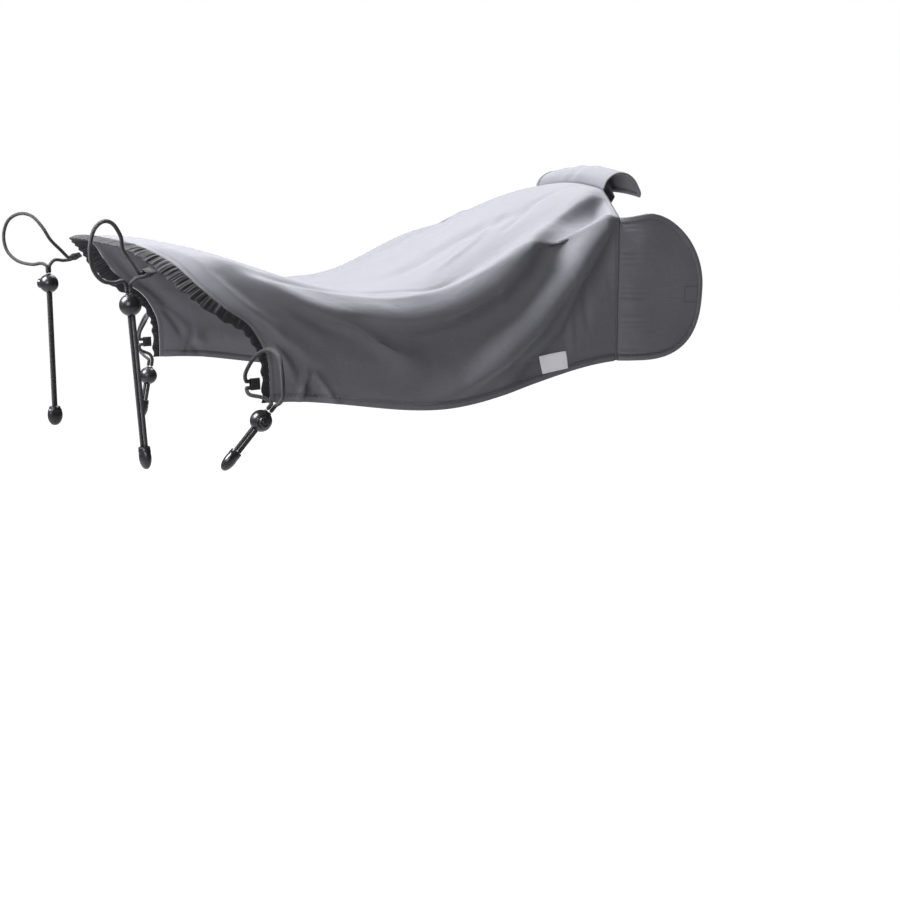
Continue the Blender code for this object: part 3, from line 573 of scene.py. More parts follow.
# The sail's fine folds: height, its width towards the middle and towards the hem, and the
# line that it follows, each place as (share to the gathered edge, share to the hem)
FINE_FOLDS = (
    (0.0095, 0.040, 0.010, (0.0, 0.320), (0.030, 0.338), (0.074, 0.355), (0.124, 0.390), (0.187, 0.485),
     (0.254, 0.592), (0.321, 0.638), (0.452, 0.668), (0.575, 0.668), (0.696, 0.650), (0.813, 0.620)),
    (-0.0115, 0.022, 0.028, (0.0, 0.395), (0.030, 0.415), (0.060, 0.445), (0.100, 0.492), (0.157, 0.562),
     (0.200, 0.612), (0.244, 0.658), (0.308, 0.704), (0.441, 0.742), (0.535, 0.758), (0.656, 0.772),
     (0.773, 0.780), (0.860, 0.780)),
    (0.0110, 0.018, 0.010, (0.0, 0.535), (0.023, 0.555), (0.060, 0.595), (0.110, 0.645), (0.155, 0.705),
     (0.205, 0.750), (0.270, 0.815), (0.335, 0.855), (0.410, 0.900), (0.480, 0.940), (0.620, 0.965)),
    (-0.0100, 0.011, 0.020, (0.0, 0.595), (0.020, 0.625), (0.045, 0.675), (0.090, 0.745), (0.125, 0.810),
     (0.165, 0.880), (0.220, 0.920), (0.290, 0.950), (0.370, 0.975)),
    (0.0080, 0.018, 0.009, (0.816, 0.912), (0.900, 0.872), (0.943, 0.824), (0.962, 0.768), (0.966, 0.699),
     (0.969, 0.600), (0.985, 0.503), (1.0, 0.40)),
    (-0.0045, 0.014, 0.014, (0.120, 0.230), (0.304, 0.130), (0.411, 0.160), (0.520, 0.200)),
    (-0.0040, 0.010, 0.010, (0.560, 0.430), (0.702, 0.479), (0.860, 0.545), (0.955, 0.560)),
    (0.0060, 0.007, 0.005, (0.925, 0.950), (0.945, 0.920), (0.990, 0.830)),
    (0.0055, 0.005, 0.004, (0.895, 0.900), (0.930, 1.000)),
    (0.0045, 0.005, 0.005, (0.840, 1.000), (0.895, 0.915)),
    (-0.0050, 0.009, 0.007, (0.870, 0.975), (0.920, 0.955)),
    (-0.0025, 0.006, 0.006, (0.020, 0.600), (0.022, 0.800)),
    (-0.0022, 0.006, 0.006, (0.085, 0.700), (0.096, 0.900)),
    (0.0018, 0.005, 0.005, (0.130, 0.780), (0.150, 0.960)),
    (-0.0020, 0.007, 0.005, (0.020, 0.120), (0.140, 0.180), (0.260, 0.300)),
    (0.0022, 0.008, 0.005, (0.160, 0.080), (0.300, 0.240), (0.420, 0.330)),
    (-0.0022, 0.006, 0.009, (0.300, 0.400), (0.450, 0.440), (0.640, 0.400)),
    (0.0016, 0.006, 0.006, (0.450, 0.960), (0.620, 0.975), (0.800, 0.965)),
    (-0.0016, 0.006, 0.006, (0.250, 0.960), (0.420, 0.990)),
)
FOLD_START_FADE = 0.4
FAR_SHIFT = 0.010                    # how far the far half's folds stray from a mirror copy
FAR_FIRST_LOSS, FAR_LOSS = 0.75, 0.35    # how much lower they are, the first one and the others
FLARE = 0.0085                       # how far the hem stands out near the gathered corners
FLARE_FROM_HALF, FLARE_FROM_SHARE = 0.90, 0.40
NET_ROWS, NET_COLUMNS = 231, 301


def fine_folds(share, half, lean):
    """Height of the fine folds. The far half leans each one a little, so it isn't a mirror copy."""
    here = np.stack([share * SAIL_LENGTH, half * REAR_LENGTH], 1)
    height = np.zeros(len(here))
    for number, (peak, to_middle, to_hem, *places) in enumerate(FINE_FOLDS):
        shift = FAR_SHIFT * lean * math.sin(number * 2.3)
        line = [np.array((a * SAIL_LENGTH + shift, b * REAR_LENGTH + shift)) for a, b in places]
        away, place, side = from_polyline(here, line)
        width = np.where(side > 0, to_hem, to_middle)
        starts = 0 < places[0][0] < 1 and places[0][1] < 1
        ends = 0 < places[-1][0] < 1 and places[-1][1] < 1
        fade_in = smooth_step(place / FOLD_START_FADE) if starts else 1.0
        fade = fade_in * (smooth_step((1 - place) / FOLD_FADE) if ends else 1.0)
        lower = 1 - lean * (FAR_LOSS if number else FAR_FIRST_LOSS)
        height += peak * lower * fade * np.exp(-(away / width) ** 2)
    return height


def sail_net_normals():
    """Outward directions of the plain sail on a fine net, to look up later."""
    share = np.repeat(np.linspace(0, 1, NET_ROWS), NET_COLUMNS)
    across = np.tile(np.linspace(-1, 1, NET_COLUMNS), NET_ROWS)
    normal = sheet_normals(plain_sail(share, across), NET_ROWS, NET_COLUMNS)
    return normal.reshape(NET_ROWS, NET_COLUMNS, 3)


SAIL_NORMALS = sail_net_normals()


def sail_normal(share, across):
    """The plain sail's outward direction, read off the net."""
    row, column = share * (NET_ROWS - 1), (across + 1) / 2 * (NET_COLUMNS - 1)
    low_row = np.clip(row.astype(int), 0, NET_ROWS - 2)
    low_column = np.clip(column.astype(int), 0, NET_COLUMNS - 2)
    down, right = (row - low_row)[:, None], (column - low_column)[:, None]
    return (
        SAIL_NORMALS[low_row, low_column] * (1 - down) * (1 - right)
        + SAIL_NORMALS[low_row + 1, low_column] * down * (1 - right)
        + SAIL_NORMALS[low_row, low_column + 1] * (1 - down) * right
        + SAIL_NORMALS[low_row + 1, low_column + 1] * down * right)


def seam_dip(from_seam):
    """How deep the stitches pull the cloth in at a distance from a seam."""
    return SEAM_DIP * np.exp(-(from_seam / SEAM_DIP_REACH) ** 2)


def sail_surface(share, across, lift=0.0):
    """The folded sail's middle surface, moved outwards by lift."""
    half = np.abs(across)
    near = fine_folds(share, half, 0.0)
    far = fine_folds(share, half, 1.0)
    keep = smooth_step(share / 0.05) * smooth_step((1 - share) / 0.04)
    keep = keep * (0.5 + 0.5 * smooth_step((1 - half) / 0.03))
    height = np.where(across < 0, near, far) * keep
    at_hem = smooth_step((half - FLARE_FROM_HALF) / (1 - FLARE_FROM_HALF))
    near_corner = smooth_step((share - FLARE_FROM_SHARE) / 0.2) * smooth_step((0.97 - share) / 0.15)
    height += FLARE * at_hem * near_corner - seam_dip(share * SAIL_LENGTH)
    return plain_sail(share, across) + sail_normal(share, across) * (height + lift)[:, None]


def sail_edges(share, across):
    """Metres along the nearest edge of the sail, and the distance from it."""
    half = np.abs(across)
    here = np.stack([share * SAIL_LENGTH, half * REAR_LENGTH], 1)
    corners = [(0, 0), (0, REAR_LENGTH), (SAIL_LENGTH, REAR_LENGTH), (SAIL_LENGTH, 0)]
    away, place, _ = from_polyline(here, [np.array(corner) for corner in corners])
    return place * (2 * REAR_LENGTH + SAIL_LENGTH), away


def build_sail(finish):
    """The sail itself, hem to hem."""
    shape = grid_shape(
        (190, 250), lambda a, b: sail_surface(a, b * 2 - 1), (SAIL_LENGTH, 2 * REAR_LENGTH),
        lambda a, b: sail_edges(a, b * 2 - 1))
    return thicken(add_piece("sail_cloth", shape, finish), CLOTH)


HEM_LENGTH = 0.4328
HEM_WIDTH, HEM_PROUD = 0.0075, 0.0009
FLAP_HEM_WIDTH, FLAP_HEM_PROUD = 0.0062, 0.0008
HEM_ROUND = 0.0012                   # how far in its rolled edge reaches its full thickness
HEM_OVERHANG = 0.0005
HEM_FROM_ENDS = 0.012


def edge_band(name, surface, finish, steps, length, proud=FLAP_HEM_PROUD, width=FLAP_HEM_WIDTH):
    """A turned-in hem round a cloth's edge. surface(a, depth, lift) is a point at share a along the
    edge, depth metres inside it and lift metres out of the cloth."""
    upper = ((width, proud), (width * 0.5, proud), (HEM_ROUND, proud), (0.0, proud * 0.75))
    section = (*upper, (-HEM_OVERHANG, 0.0), *((depth, -lift) for depth, lift in reversed(upper)))
    depths, lifts = zip(*section)
    corners = range(len(section))

    def place(a, b):
        number = b * (len(section) - 1)
        return surface(a, np.interp(number, corners, depths), np.interp(number, corners, lifts))

    def edges(a, b):
        return a * length, np.interp(b * (len(section) - 1), corners, depths)
    shape = grid_shape((steps, len(section) - 1), place, (length, 0.016), edges)
    bmesh.ops.recalc_face_normals(shape, faces=shape.faces)
    return thicken(add_piece(name, shape, finish), HEM_CLOTH, -1.0)


def build_sail_hem(name, side, finish):
    """The turned-in hem down one long side of the sail."""
    def surface(a, depth, lift):
        a = HEM_FROM_ENDS + a * (1 - 2 * HEM_FROM_ENDS)
        across = side * (1 - np.maximum(depth, 0) / REAR_LENGTH)
        point = sail_surface(a, across, lift)
        point[:, 2] -= np.maximum(-depth, 0)
        return point
    return edge_band(name, surface, finish, 220, HEM_LENGTH, HEM_PROUD, HEM_WIDTH)


def outline_inwards(line, a, middle):
    """Places at shares a of a flat outline round middle, and the way into the cloth there."""
    flat = at_shares(line, a)[:, :2]
    before, after = (at_shares(line, np.clip(a + step, 0, 1))[:, :2] for step in (-0.004, 0.004))
    ahead = after - before
    ahead /= np.linalg.norm(ahead, axis=1, keepdims=True)
    inwards = np.stack([-ahead[:, 1], ahead[:, 0]], 1)
    return flat, inwards * -np.sign((inwards * (flat - np.array(middle))).sum(1))[:, None]


# Side flaps and the top flap
FLAP_DEPTH = 0.105
FLAP_STRAIGHT = 0.025
FLAP_RISE = 0.005
FLAP_STEP = 0.010
FLAP_STEP_LENGTH = 0.012
FLAP_TURNS = (2.0, 3.0)
FLAP_TURN_POWER = 2.2
MAGNET_X = 0.030
MAGNET_Z = -0.115
POCKET_SIDE = 0.0175
TOP_POCKET_SIDE = 0.0145
POCKET_DEPTH = 0.0025
POCKET_SWELL = POCKET_DEPTH - 0.0010  # how far the magnet lifts the middle of its pocket
DISC_RADIUS = 0.0078                 # magnet, as it shows through its pocket
GRIPPED_CLOTH = 0.0022               # what a flap and its tab close on
FLAP_TO_TAB = CLOTH + 2 * (SEAT_GAP + POCKET_DEPTH) + GRIPPED_CLOTH + 2 * SEAT_GAP
SIDE_MIDDLE = SIDE_SEAM_TOP - SIDE_SEAM_LENGTH / 2
FLAP_ROUND = 0.36                    # metres round a side flap's edge
FLAP_WRINKLE, FLAP_WAVE, FLAP_SWELL = 0.0011, 0.0010, 0.0006


def flap_y(x):
    """How far out a side flap stands at x: it steps outwards just past its seam."""
    return SIDE_SEAM_Y + FLAP_STEP * (1 - np.exp(-np.maximum((x - SIDE_SEAM_X) / FLAP_STEP_LENGTH, 0)))


def flap_reach(height):
    """How far along X the D reaches at a height from -1 at its foot to 1 at its top."""
    turn = np.where(height > 0, *FLAP_TURNS)
    bulge = np.maximum(1 - np.abs(height) ** turn, 0.0) ** (1 / FLAP_TURN_POWER)
    return SIDE_SEAM_X + FLAP_STRAIGHT + (FLAP_DEPTH - FLAP_STRAIGHT) * bulge


def flap_flat(a, height):
    """A place on the D in its own plane: x and z."""
    x = SIDE_SEAM_X + a * (flap_reach(height) - SIDE_SEAM_X)
    rise = FLAP_RISE * smooth_step((x - SIDE_SEAM_X) / 0.04) * np.maximum(height, 0.0) ** 3
    return np.stack([x, SIDE_MIDDLE + SIDE_SEAM_LENGTH / 2 * height + rise], 1)


def flap_outline():
    """The D's free edge in its own plane, from the top of its seam round to the bottom."""
    top = flap_flat(np.linspace(0, 0.999, 24), np.ones(24))
    turn = np.sin(np.linspace(math.pi / 2, -math.pi / 2, 160))
    rear = flap_flat(np.ones(160), turn)
    bottom = flap_flat(np.linspace(0.999, 0, 24), -np.ones(24))
    return np.concatenate([top, rear, bottom])


FLAP_OUTLINE = flap_outline()


def flap_solid(flat, side, lift):
    """A place in the D's plane on the flap itself, with its soft wrinkles along the seam."""
    x, z = flat[:, 0], flat[:, 1]
    from_seam = x - SIDE_SEAM_X
    near_seam = smooth_step(from_seam / 0.005) * np.exp(-(from_seam / 0.022) ** 2)
    pleats = np.sin(z * 640 + 3 * np.sin(z * 170))
    wrinkle = FLAP_WRINKLE * near_seam * pleats * (0.55 + 0.45 * np.sin(z * 95 + 1))
    clear = smooth_step(from_seam / 0.03)
    wave = FLAP_WAVE * clear * np.sin(z * 60 + x * 25) + FLAP_SWELL * np.sin(z * 28 - x * 90)
    y = flap_y(x) + wrinkle + wave * clear - seam_dip(from_seam) + lift
    return np.stack([x, side * y, z], 1)


def build_side_flap(name, side, finish):
    """A D-shaped flap down one side, with a line of stitches round its edge and its pocket."""
    outline = [np.array(point) for point in FLAP_OUTLINE[::3]]
    square = POCKET_SIDE / 2 + 0.0002
    corners = [(-1, -1), (1, -1), (1, 1), (-1, 1), (-1, -1)]
    patch = [np.array((MAGNET_X + u * square, MAGNET_Z + v * square)) for u, v in corners]

    def height_of(b):
        return np.sin((b - 0.5) * math.pi)

    def place(a, b):
        return flap_solid(flap_flat(a ** 1.1, height_of(b)), side, 0.0)

    def edges(a, b):
        here = flap_flat(a ** 1.1, height_of(b))
        away, place_on, _ = from_polyline(here, outline)
        from_patch, on_patch, _ = from_polyline(here, patch)
        nearer = from_patch + STITCH_INSET < away
        along = np.where(nearer, on_patch * 8 * square, place_on * FLAP_ROUND)
        return along, np.where(nearer, from_patch + STITCH_INSET, away)
    shape = grid_shape((130, 170), place, (FLAP_DEPTH, SIDE_SEAM_LENGTH), edges)
    bmesh.ops.remove_doubles(shape, verts=shape.verts, dist=0.00002)
    if side < 0:
        bmesh.ops.reverse_faces(shape, faces=shape.faces)
    return thicken(add_piece(name, shape, finish), CLOTH)


def build_flap_hem(name, side, finish):
    """The turned-in hem round a side flap's free edge."""
    line = [Vector((*point, 0)) for point in FLAP_OUTLINE]

    def surface(a, depth, lift):
        flat, inwards = outline_inwards(line, a, (SIDE_SEAM_X + 0.03, SIDE_MIDDLE))
        return flap_solid(flat + inwards * depth[:, None], side, lift)
    return edge_band(name, surface, finish, 260, line_length(line))


BOW_RADIUS = 0.0250
BOW_CENTRE_Z = 0.005
TOP_END = math.radians(62.0)
TOP_TAIL = 0.019
TOP_RIPPLE = 0.0007
TOP_TAB_HALF = 0.030
TOP_TAB_ARC = (180, 335)
TOP_MAGNET_FROM_END = 0.0085
SEAM_BLEND = 0.012
FLAP_RADIUS = BOW_RADIUS + CLOTH / 2 + SEAT_GAP
TOP_START = math.atan2(TOP_SEAM_X, TOP_SEAM_Z - BOW_CENTRE_Z)
TOP_ARC = FLAP_RADIUS * (TOP_END - TOP_START)
TOP_LENGTH = TOP_ARC + TOP_TAIL


def top_flap_solid(run, y, lift):
    """The top flap: run metres from its seam round its curve, then straight down behind it."""
    angle = TOP_START + np.minimum(run, TOP_ARC) / FLAP_RADIUS
    seam = math.hypot(TOP_SEAM_X, TOP_SEAM_Z - BOW_CENTRE_Z)
    radius = FLAP_RADIUS + (seam - FLAP_RADIUS) * (1 - smooth_step(run / SEAM_BLEND)) + lift
    ripple = TOP_RIPPLE * np.sin(y * 120 + 2 * np.sin(y * 55))
    ripple = ripple * smooth_step(run / 0.01) * smooth_step((TOP_LENGTH - run) / 0.02)
    radius = radius + ripple - seam_dip(run)
    rest = np.maximum(run - TOP_ARC, 0.0)
    x = radius * np.sin(angle) + rest * math.cos(TOP_END)
    z = BOW_CENTRE_Z + radius * np.cos(angle) - rest * math.sin(TOP_END)
    return np.stack([x, y, z - TOP_SEAM_DROP * (y / TOP_SEAM_HALF) ** 2], 1)


def top_flap_half(run):
    """Half the top flap's width, which narrows at its rounded end."""
    return TOP_SEAM_HALF * (1 - 0.10 * np.maximum((run / TOP_LENGTH - 0.84) / 0.16, 0.0) ** 2.2)


def top_outline():
    """The top flap's edge laid flat: down one side, along its end and back up the other side."""
    run = np.concatenate([
        np.linspace(0, TOP_LENGTH, 40), np.full(60, TOP_LENGTH), np.linspace(TOP_LENGTH, 0, 40)])
    side = np.concatenate([np.full(40, -1.0), np.linspace(-1, 1, 60), np.full(40, 1.0)])
    return np.stack([run, side * top_flap_half(run)], 1)


TOP_OUTLINE = top_outline()


def build_top_flap(finish):
    """The broad flap that folds over and hangs straight at its end."""
    outline = [np.array(point) for point in TOP_OUTLINE[::2]]

    def flat(a, b):
        run = a * TOP_LENGTH
        return run, (b * 2 - 1) * top_flap_half(run)

    def edges(a, b):
        run, y = flat(a, b)
        away, place, _ = from_polyline(np.stack([run, y], 1), outline)
        return place * (2 * TOP_LENGTH + 2 * TOP_SEAM_HALF), away

    def place(a, b):
        return top_flap_solid(*flat(a, b), 0.0)
    shape = grid_shape((80, 130), place, (TOP_LENGTH, 2 * TOP_SEAM_HALF), edges)
    return thicken(add_piece("top_flap_cloth", shape, finish), CLOTH)


def build_top_hem(finish):
    """The turned-in hem round the top flap's free edge."""
    line = [Vector((*point, 0)) for point in TOP_OUTLINE]

    def surface(a, depth, lift):
        flat, inwards = outline_inwards(line, a, (TOP_LENGTH * 0.45, 0.0))
        flat = flat + inwards * depth[:, None]
        return top_flap_solid(flat[:, 0], flat[:, 1], lift)
    return edge_band("top_flap_hem", surface, finish, 240, line_length(line))


def tail_point(run, depth):
    """A place on the top flap's straight end, depth metres inside it, in its side view."""
    return Vector((
        FLAP_RADIUS * math.sin(TOP_END) + run * math.cos(TOP_END) - depth * math.sin(TOP_END),
        BOW_CENTRE_Z + FLAP_RADIUS * math.cos(TOP_END) - run * math.sin(TOP_END) - depth * math.cos(TOP_END)))


def strip_edges(length, width):
    """The edge map of a plain strip."""
    corners = [np.array(corner) for corner in ((0, 0), (0, width), (length, width), (length, 0), (0, 0))]

    def edges(a, b):
        away, place, _ = from_polyline(np.stack([a * length, b * width], 1), corners)
        return place * 2 * (length + width), away * 1.6
    return edges


def build_top_tab(finish):
    """The inner tab: down the seam, round underneath, and up against the flap's straight end."""
    radius = BOW_RADIUS + CLOTH
    first, last = TOP_TAB_ARC
    turns = 6
    angles = [math.radians(first + (last - first) * step / turns) for step in range(turns + 1)]
    low = tail_point(TOP_TAIL - SEAT_GAP, FLAP_TO_TAB)
    high = tail_point(TOP_TAIL - TOP_POCKET_SIDE - 2 * SEAT_GAP, FLAP_TO_TAB)
    side_view = (
        (TOP_SEAM_X, TOP_SEAM_Z - CLOTH / 2 - SEAT_GAP),
        *((radius * math.cos(angle), BOW_CENTRE_Z + radius * math.sin(angle)) for angle in angles),
        low, low.lerp(high, 0.5), high)
    line = smooth_line([Vector((x, z)) for x, z in side_view])
    length = line_length(line)

    def place(a, b):
        point = at_shares(line, a)
        y = TOP_TAB_HALF * (b * 2 - 1)
        return np.stack([point[:, 0], y, point[:, 1] - TOP_SEAM_DROP * (y / TOP_SEAM_HALF) ** 2], 1)
    size = (length, 2 * TOP_TAB_HALF)
    shape = grid_shape((110, 40), place, size, strip_edges(*size))
    return thicken(add_piece("top_tab_cloth", shape, finish), CLOTH)


TAB_SIZE = (0.12, 0.050)
TAB_POCKET_DEPTH = 0.026             # how far a side tab bends inwards on its way


def build_side_tab(name, side, finish):
    """A side flap's inner tab: inwards in a bend, then flat alongside the flap."""
    start = SIDE_SEAM_X + SEAM_GAP
    flat_from = MAGNET_X - POCKET_SIDE / 2 - 0.002
    end = MAGNET_X + POCKET_SIDE / 2 + 0.001
    seam_y = SIDE_SEAM_Y - CLOTH - SEAT_GAP
    flat_y = float(flap_y(MAGNET_X)) - FLAP_TO_TAB

    def place(a, b):
        x = start + a * (end - start)
        share = smooth_step((x - start) / (flat_from - start))
        curve = np.sin(math.pi * np.minimum((x - start) / (flat_from - start), 1.0)) ** 2
        y = seam_y + (flat_y - seam_y) * share - TAB_POCKET_DEPTH * curve
        return np.stack([x, side * y, MAGNET_Z + (b - 0.5) * TAB_SIZE[1]], 1)
    shape = grid_shape((110, 40), place, TAB_SIZE, strip_edges(*TAB_SIZE))
    if side < 0:
        bmesh.ops.reverse_faces(shape, faces=shape.faces)
    return thicken(add_piece(name, shape, finish), CLOTH)


def build_pocket(name, centre, outwards, side_length, finish):
    """A square of cloth sewn on over a round magnet, which shows through it as a soft disc."""
    out = Vector(outwards).normalized()
    across = Vector((0, 0, 1)) if abs(out.y) > 0.5 else Vector((0, 1, 0))
    other = out.cross(across)
    parts = (Vector(centre), out, across, other)
    centre, out, across, other = (np.array(tuple(part)) for part in parts)

    def place(a, b):
        u, v = a * 2 - 1, b * 2 - 1
        rim = np.maximum(np.abs(u), np.abs(v))
        disc = smooth_step((0.99 - np.hypot(u, v) * side_length / 2 / DISC_RADIUS) / 0.16)
        swell = np.maximum(disc, 0.25 * smooth_step((1 - rim) / 0.15))
        depth = PATCH_CLOTH + POCKET_SWELL * swell
        half = side_length / 2
        return (
            centre + across * (u * half)[:, None] + other * (v * half)[:, None] - out * depth[:, None])
    shape = grid_shape((36, 36), place, (side_length, side_length), strip_edges(side_length, side_length))
    bmesh.ops.recalc_face_normals(shape, faces=shape.faces)
    return thicken(add_piece(name, shape, finish), PATCH_CLOTH)


# Front casing and label
CASING_WIDTH = 0.018
CASING_TAPER = 0.55
CASING_TAPER_FROM, CASING_TAPER_RUN = 0.6, 0.25
CASING_GAP = 0.0010
CASING_FAT = 0.0017                  # half its thickness, with the elastic in it
GATHERS = 96
PUCKER, FINE_PUCKER, FRILL = 0.00085, 0.0005, 0.0010


def front_frame(across):
    """The free front edge at places across: point, straight out of the cloth, and up."""
    share = np.ones(len(across))
    point = sail_surface(share, across)
    step = 0.004
    before, after = np.maximum(across - step, -1), np.minimum(across + step, 1)
    ahead = plain_sail(share, after) - plain_sail(share, before)
    ahead /= np.linalg.norm(ahead, axis=1, keepdims=True)
    up = sail_normal(share, across)
    out = np.cross(ahead, up)
    out /= np.linalg.norm(out, axis=1, keepdims=True)
    inwards = plain_sail(share, across) - plain_sail(share * 0.97, across)
    out *= np.sign((out * inwards).sum(1))[:, None]
    up = np.cross(ahead, out)
    up *= np.sign((up * sail_normal(share, across)).sum(1))[:, None]
    return point, out, up


def casing_width(across):
    """The casing's width, which is least at the lower ends."""
    places = (0, TOP_SEAM_SHARE, SIDE_SEAM_SHARE, 1)
    from_middle = np.interp(np.abs(across), places, (0, 0.3, 0.6, 1))
    taper = smooth_step((from_middle - CASING_TAPER_FROM) / CASING_TAPER_RUN)
    return CASING_WIDTH * (1 - CASING_TAPER * taper)


def build_casing(finish):
    """A gathered tunnel of black cloth with an elastic in it."""
    def place(a, b):
        across = (a * 2 - 1) * 0.9995
        point, out, up = front_frame(across)
        phase = a * 2 * math.pi * GATHERS + 2.2 * np.sin(a * 61) + 1.4 * np.sin(a * 133)
        pucker = PUCKER * np.sin(phase) * (0.6 + 0.4 * np.sin(a * 210 + b * 2))
        pucker = pucker + FINE_PUCKER * np.sin(phase * 2.3 + b * 3)
        ends = smooth_step(a / 0.01) * smooth_step((1 - a) / 0.01)
        around = b * 2 * math.pi
        reach = 0.5 - 0.5 * np.cos(around)
        fat = CASING_FAT * np.sin(around) * (0.35 + 0.65 * ends)
        width = casing_width(across)
        frill = FRILL * np.sin(phase * 0.5 + 1) * reach
        return (
            point + out * (CASING_GAP * 0.3 + reach * (width + frill))[:, None]
            + up * (fat + pucker * ends * (0.3 + 0.7 * np.abs(np.sin(around))))[:, None])
    shape = grid_shape((1000, 20), place, (0.74, 0.040))
    bmesh.ops.remove_doubles(shape, verts=shape.verts, dist=0.00003)
    rims = [edge for edge in shape.edges if edge.is_boundary]
    bmesh.ops.holes_fill(shape, edges=rims, sides=0)
    bmesh.ops.recalc_face_normals(shape, faces=shape.faces)
    return add_piece("front_gather", shape, finish)


LABEL_WIDTH = 0.0325
LABEL_HEIGHT = 0.0190
LABEL_FROM_HEM = 0.0040
LABEL_SLANT = 0.0025
LABEL_FROM_SEAM = 0.071
LABEL_LIFT = 0.0013
LABEL_PUFF, LABEL_LOOSE = 0.0009, 0.0008


def build_label(finish):
    """A blank folded tape, sewn down at its two ends, with one edge a little loose."""
    def place(a, b):
        share = (LABEL_FROM_SEAM + a * LABEL_WIDTH) / HEM_LENGTH
        across = -1 + (LABEL_FROM_HEM + a * LABEL_SLANT + b * LABEL_HEIGHT) / REAR_LENGTH
        loose_edge = smooth_step((a - 0.75) / 0.25) * np.sin(math.pi * b) ** 2
        puff = LABEL_PUFF * np.sin(math.pi * a) ** 0.6 + LABEL_LOOSE * loose_edge
        return sail_surface(share, across, LABEL_LIFT + puff)
    size = (LABEL_WIDTH, LABEL_HEIGHT)
    shape = grid_shape((48, 28), place, size, strip_edges(*size))
    bmesh.ops.recalc_face_normals(shape, faces=shape.faces)
    return thicken(add_piece("blank_label", shape, finish), TAPE_CLOTH)


# Cord sets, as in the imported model: where a cord leaves its tab, the ways out and up there, how far
# each strand is from the middle, the ball, the ways that the tails hang and the button looks, the
# tails' length below the ball, and the routes from the tab in a loop to the ball. end_turn is how
# far the cord end is turned about its tails, in degrees.
CORD_RADIUS = 0.0020
STRAND_OFFSET = 0.0022
CORD_TAB = (0.0100, 0.0120, 0.0060)
WEBBING_WIDTH = 0.030                # of a cord tab, laid flat
WEBBING_SEWN = 0.0009                # half its thickness where it is sewn flat
BALL_RADIUS = 0.0110
BUTTON_RADIUS = 0.0057
BUTTON_PROUD = 0.0025
BUTTON_TRAVEL = 0.0022
CORD_CLEARANCE = 0.0002
PLUNGER_SOLE = 0.0020
SPRING_ROOM = 0.0034
PLUNGER_FOOT = -CORD_RADIUS - CORD_CLEARANCE - PLUNGER_SOLE
BORE_FLOOR = PLUNGER_FOOT - SPRING_ROOM
SLOT_HALF = CORD_RADIUS + 0.0004
SLOT_REACH = STRAND_OFFSET + CORD_RADIUS + 0.0004
SLOT_CORNER = 0.0018
BUTTON_CLEARANCE = 0.0003
BORE_CHAMFER = 0.0012
SPRING_WIRE = 0.00035
SPRING_TURNS = 3
SPRING_RADIUS = 0.0040
END_TOP = 0.0020                     # how much of a cord end's neck stands above its oval
END_SIZE = (0.0120, 0.0190, 0.0250)
END_NECK_LENGTH = 0.007
END_SEAM = 0.00018                   # height of the moulding line
END_NECK = 0.90                      # how round its neck is, which both strands go into
SWIVEL_RISE = 0.0030
STRAIGHT_OUT, STRAIGHT_IN = 0.004, 0.006    # of a strand, out of its tab and into its lock
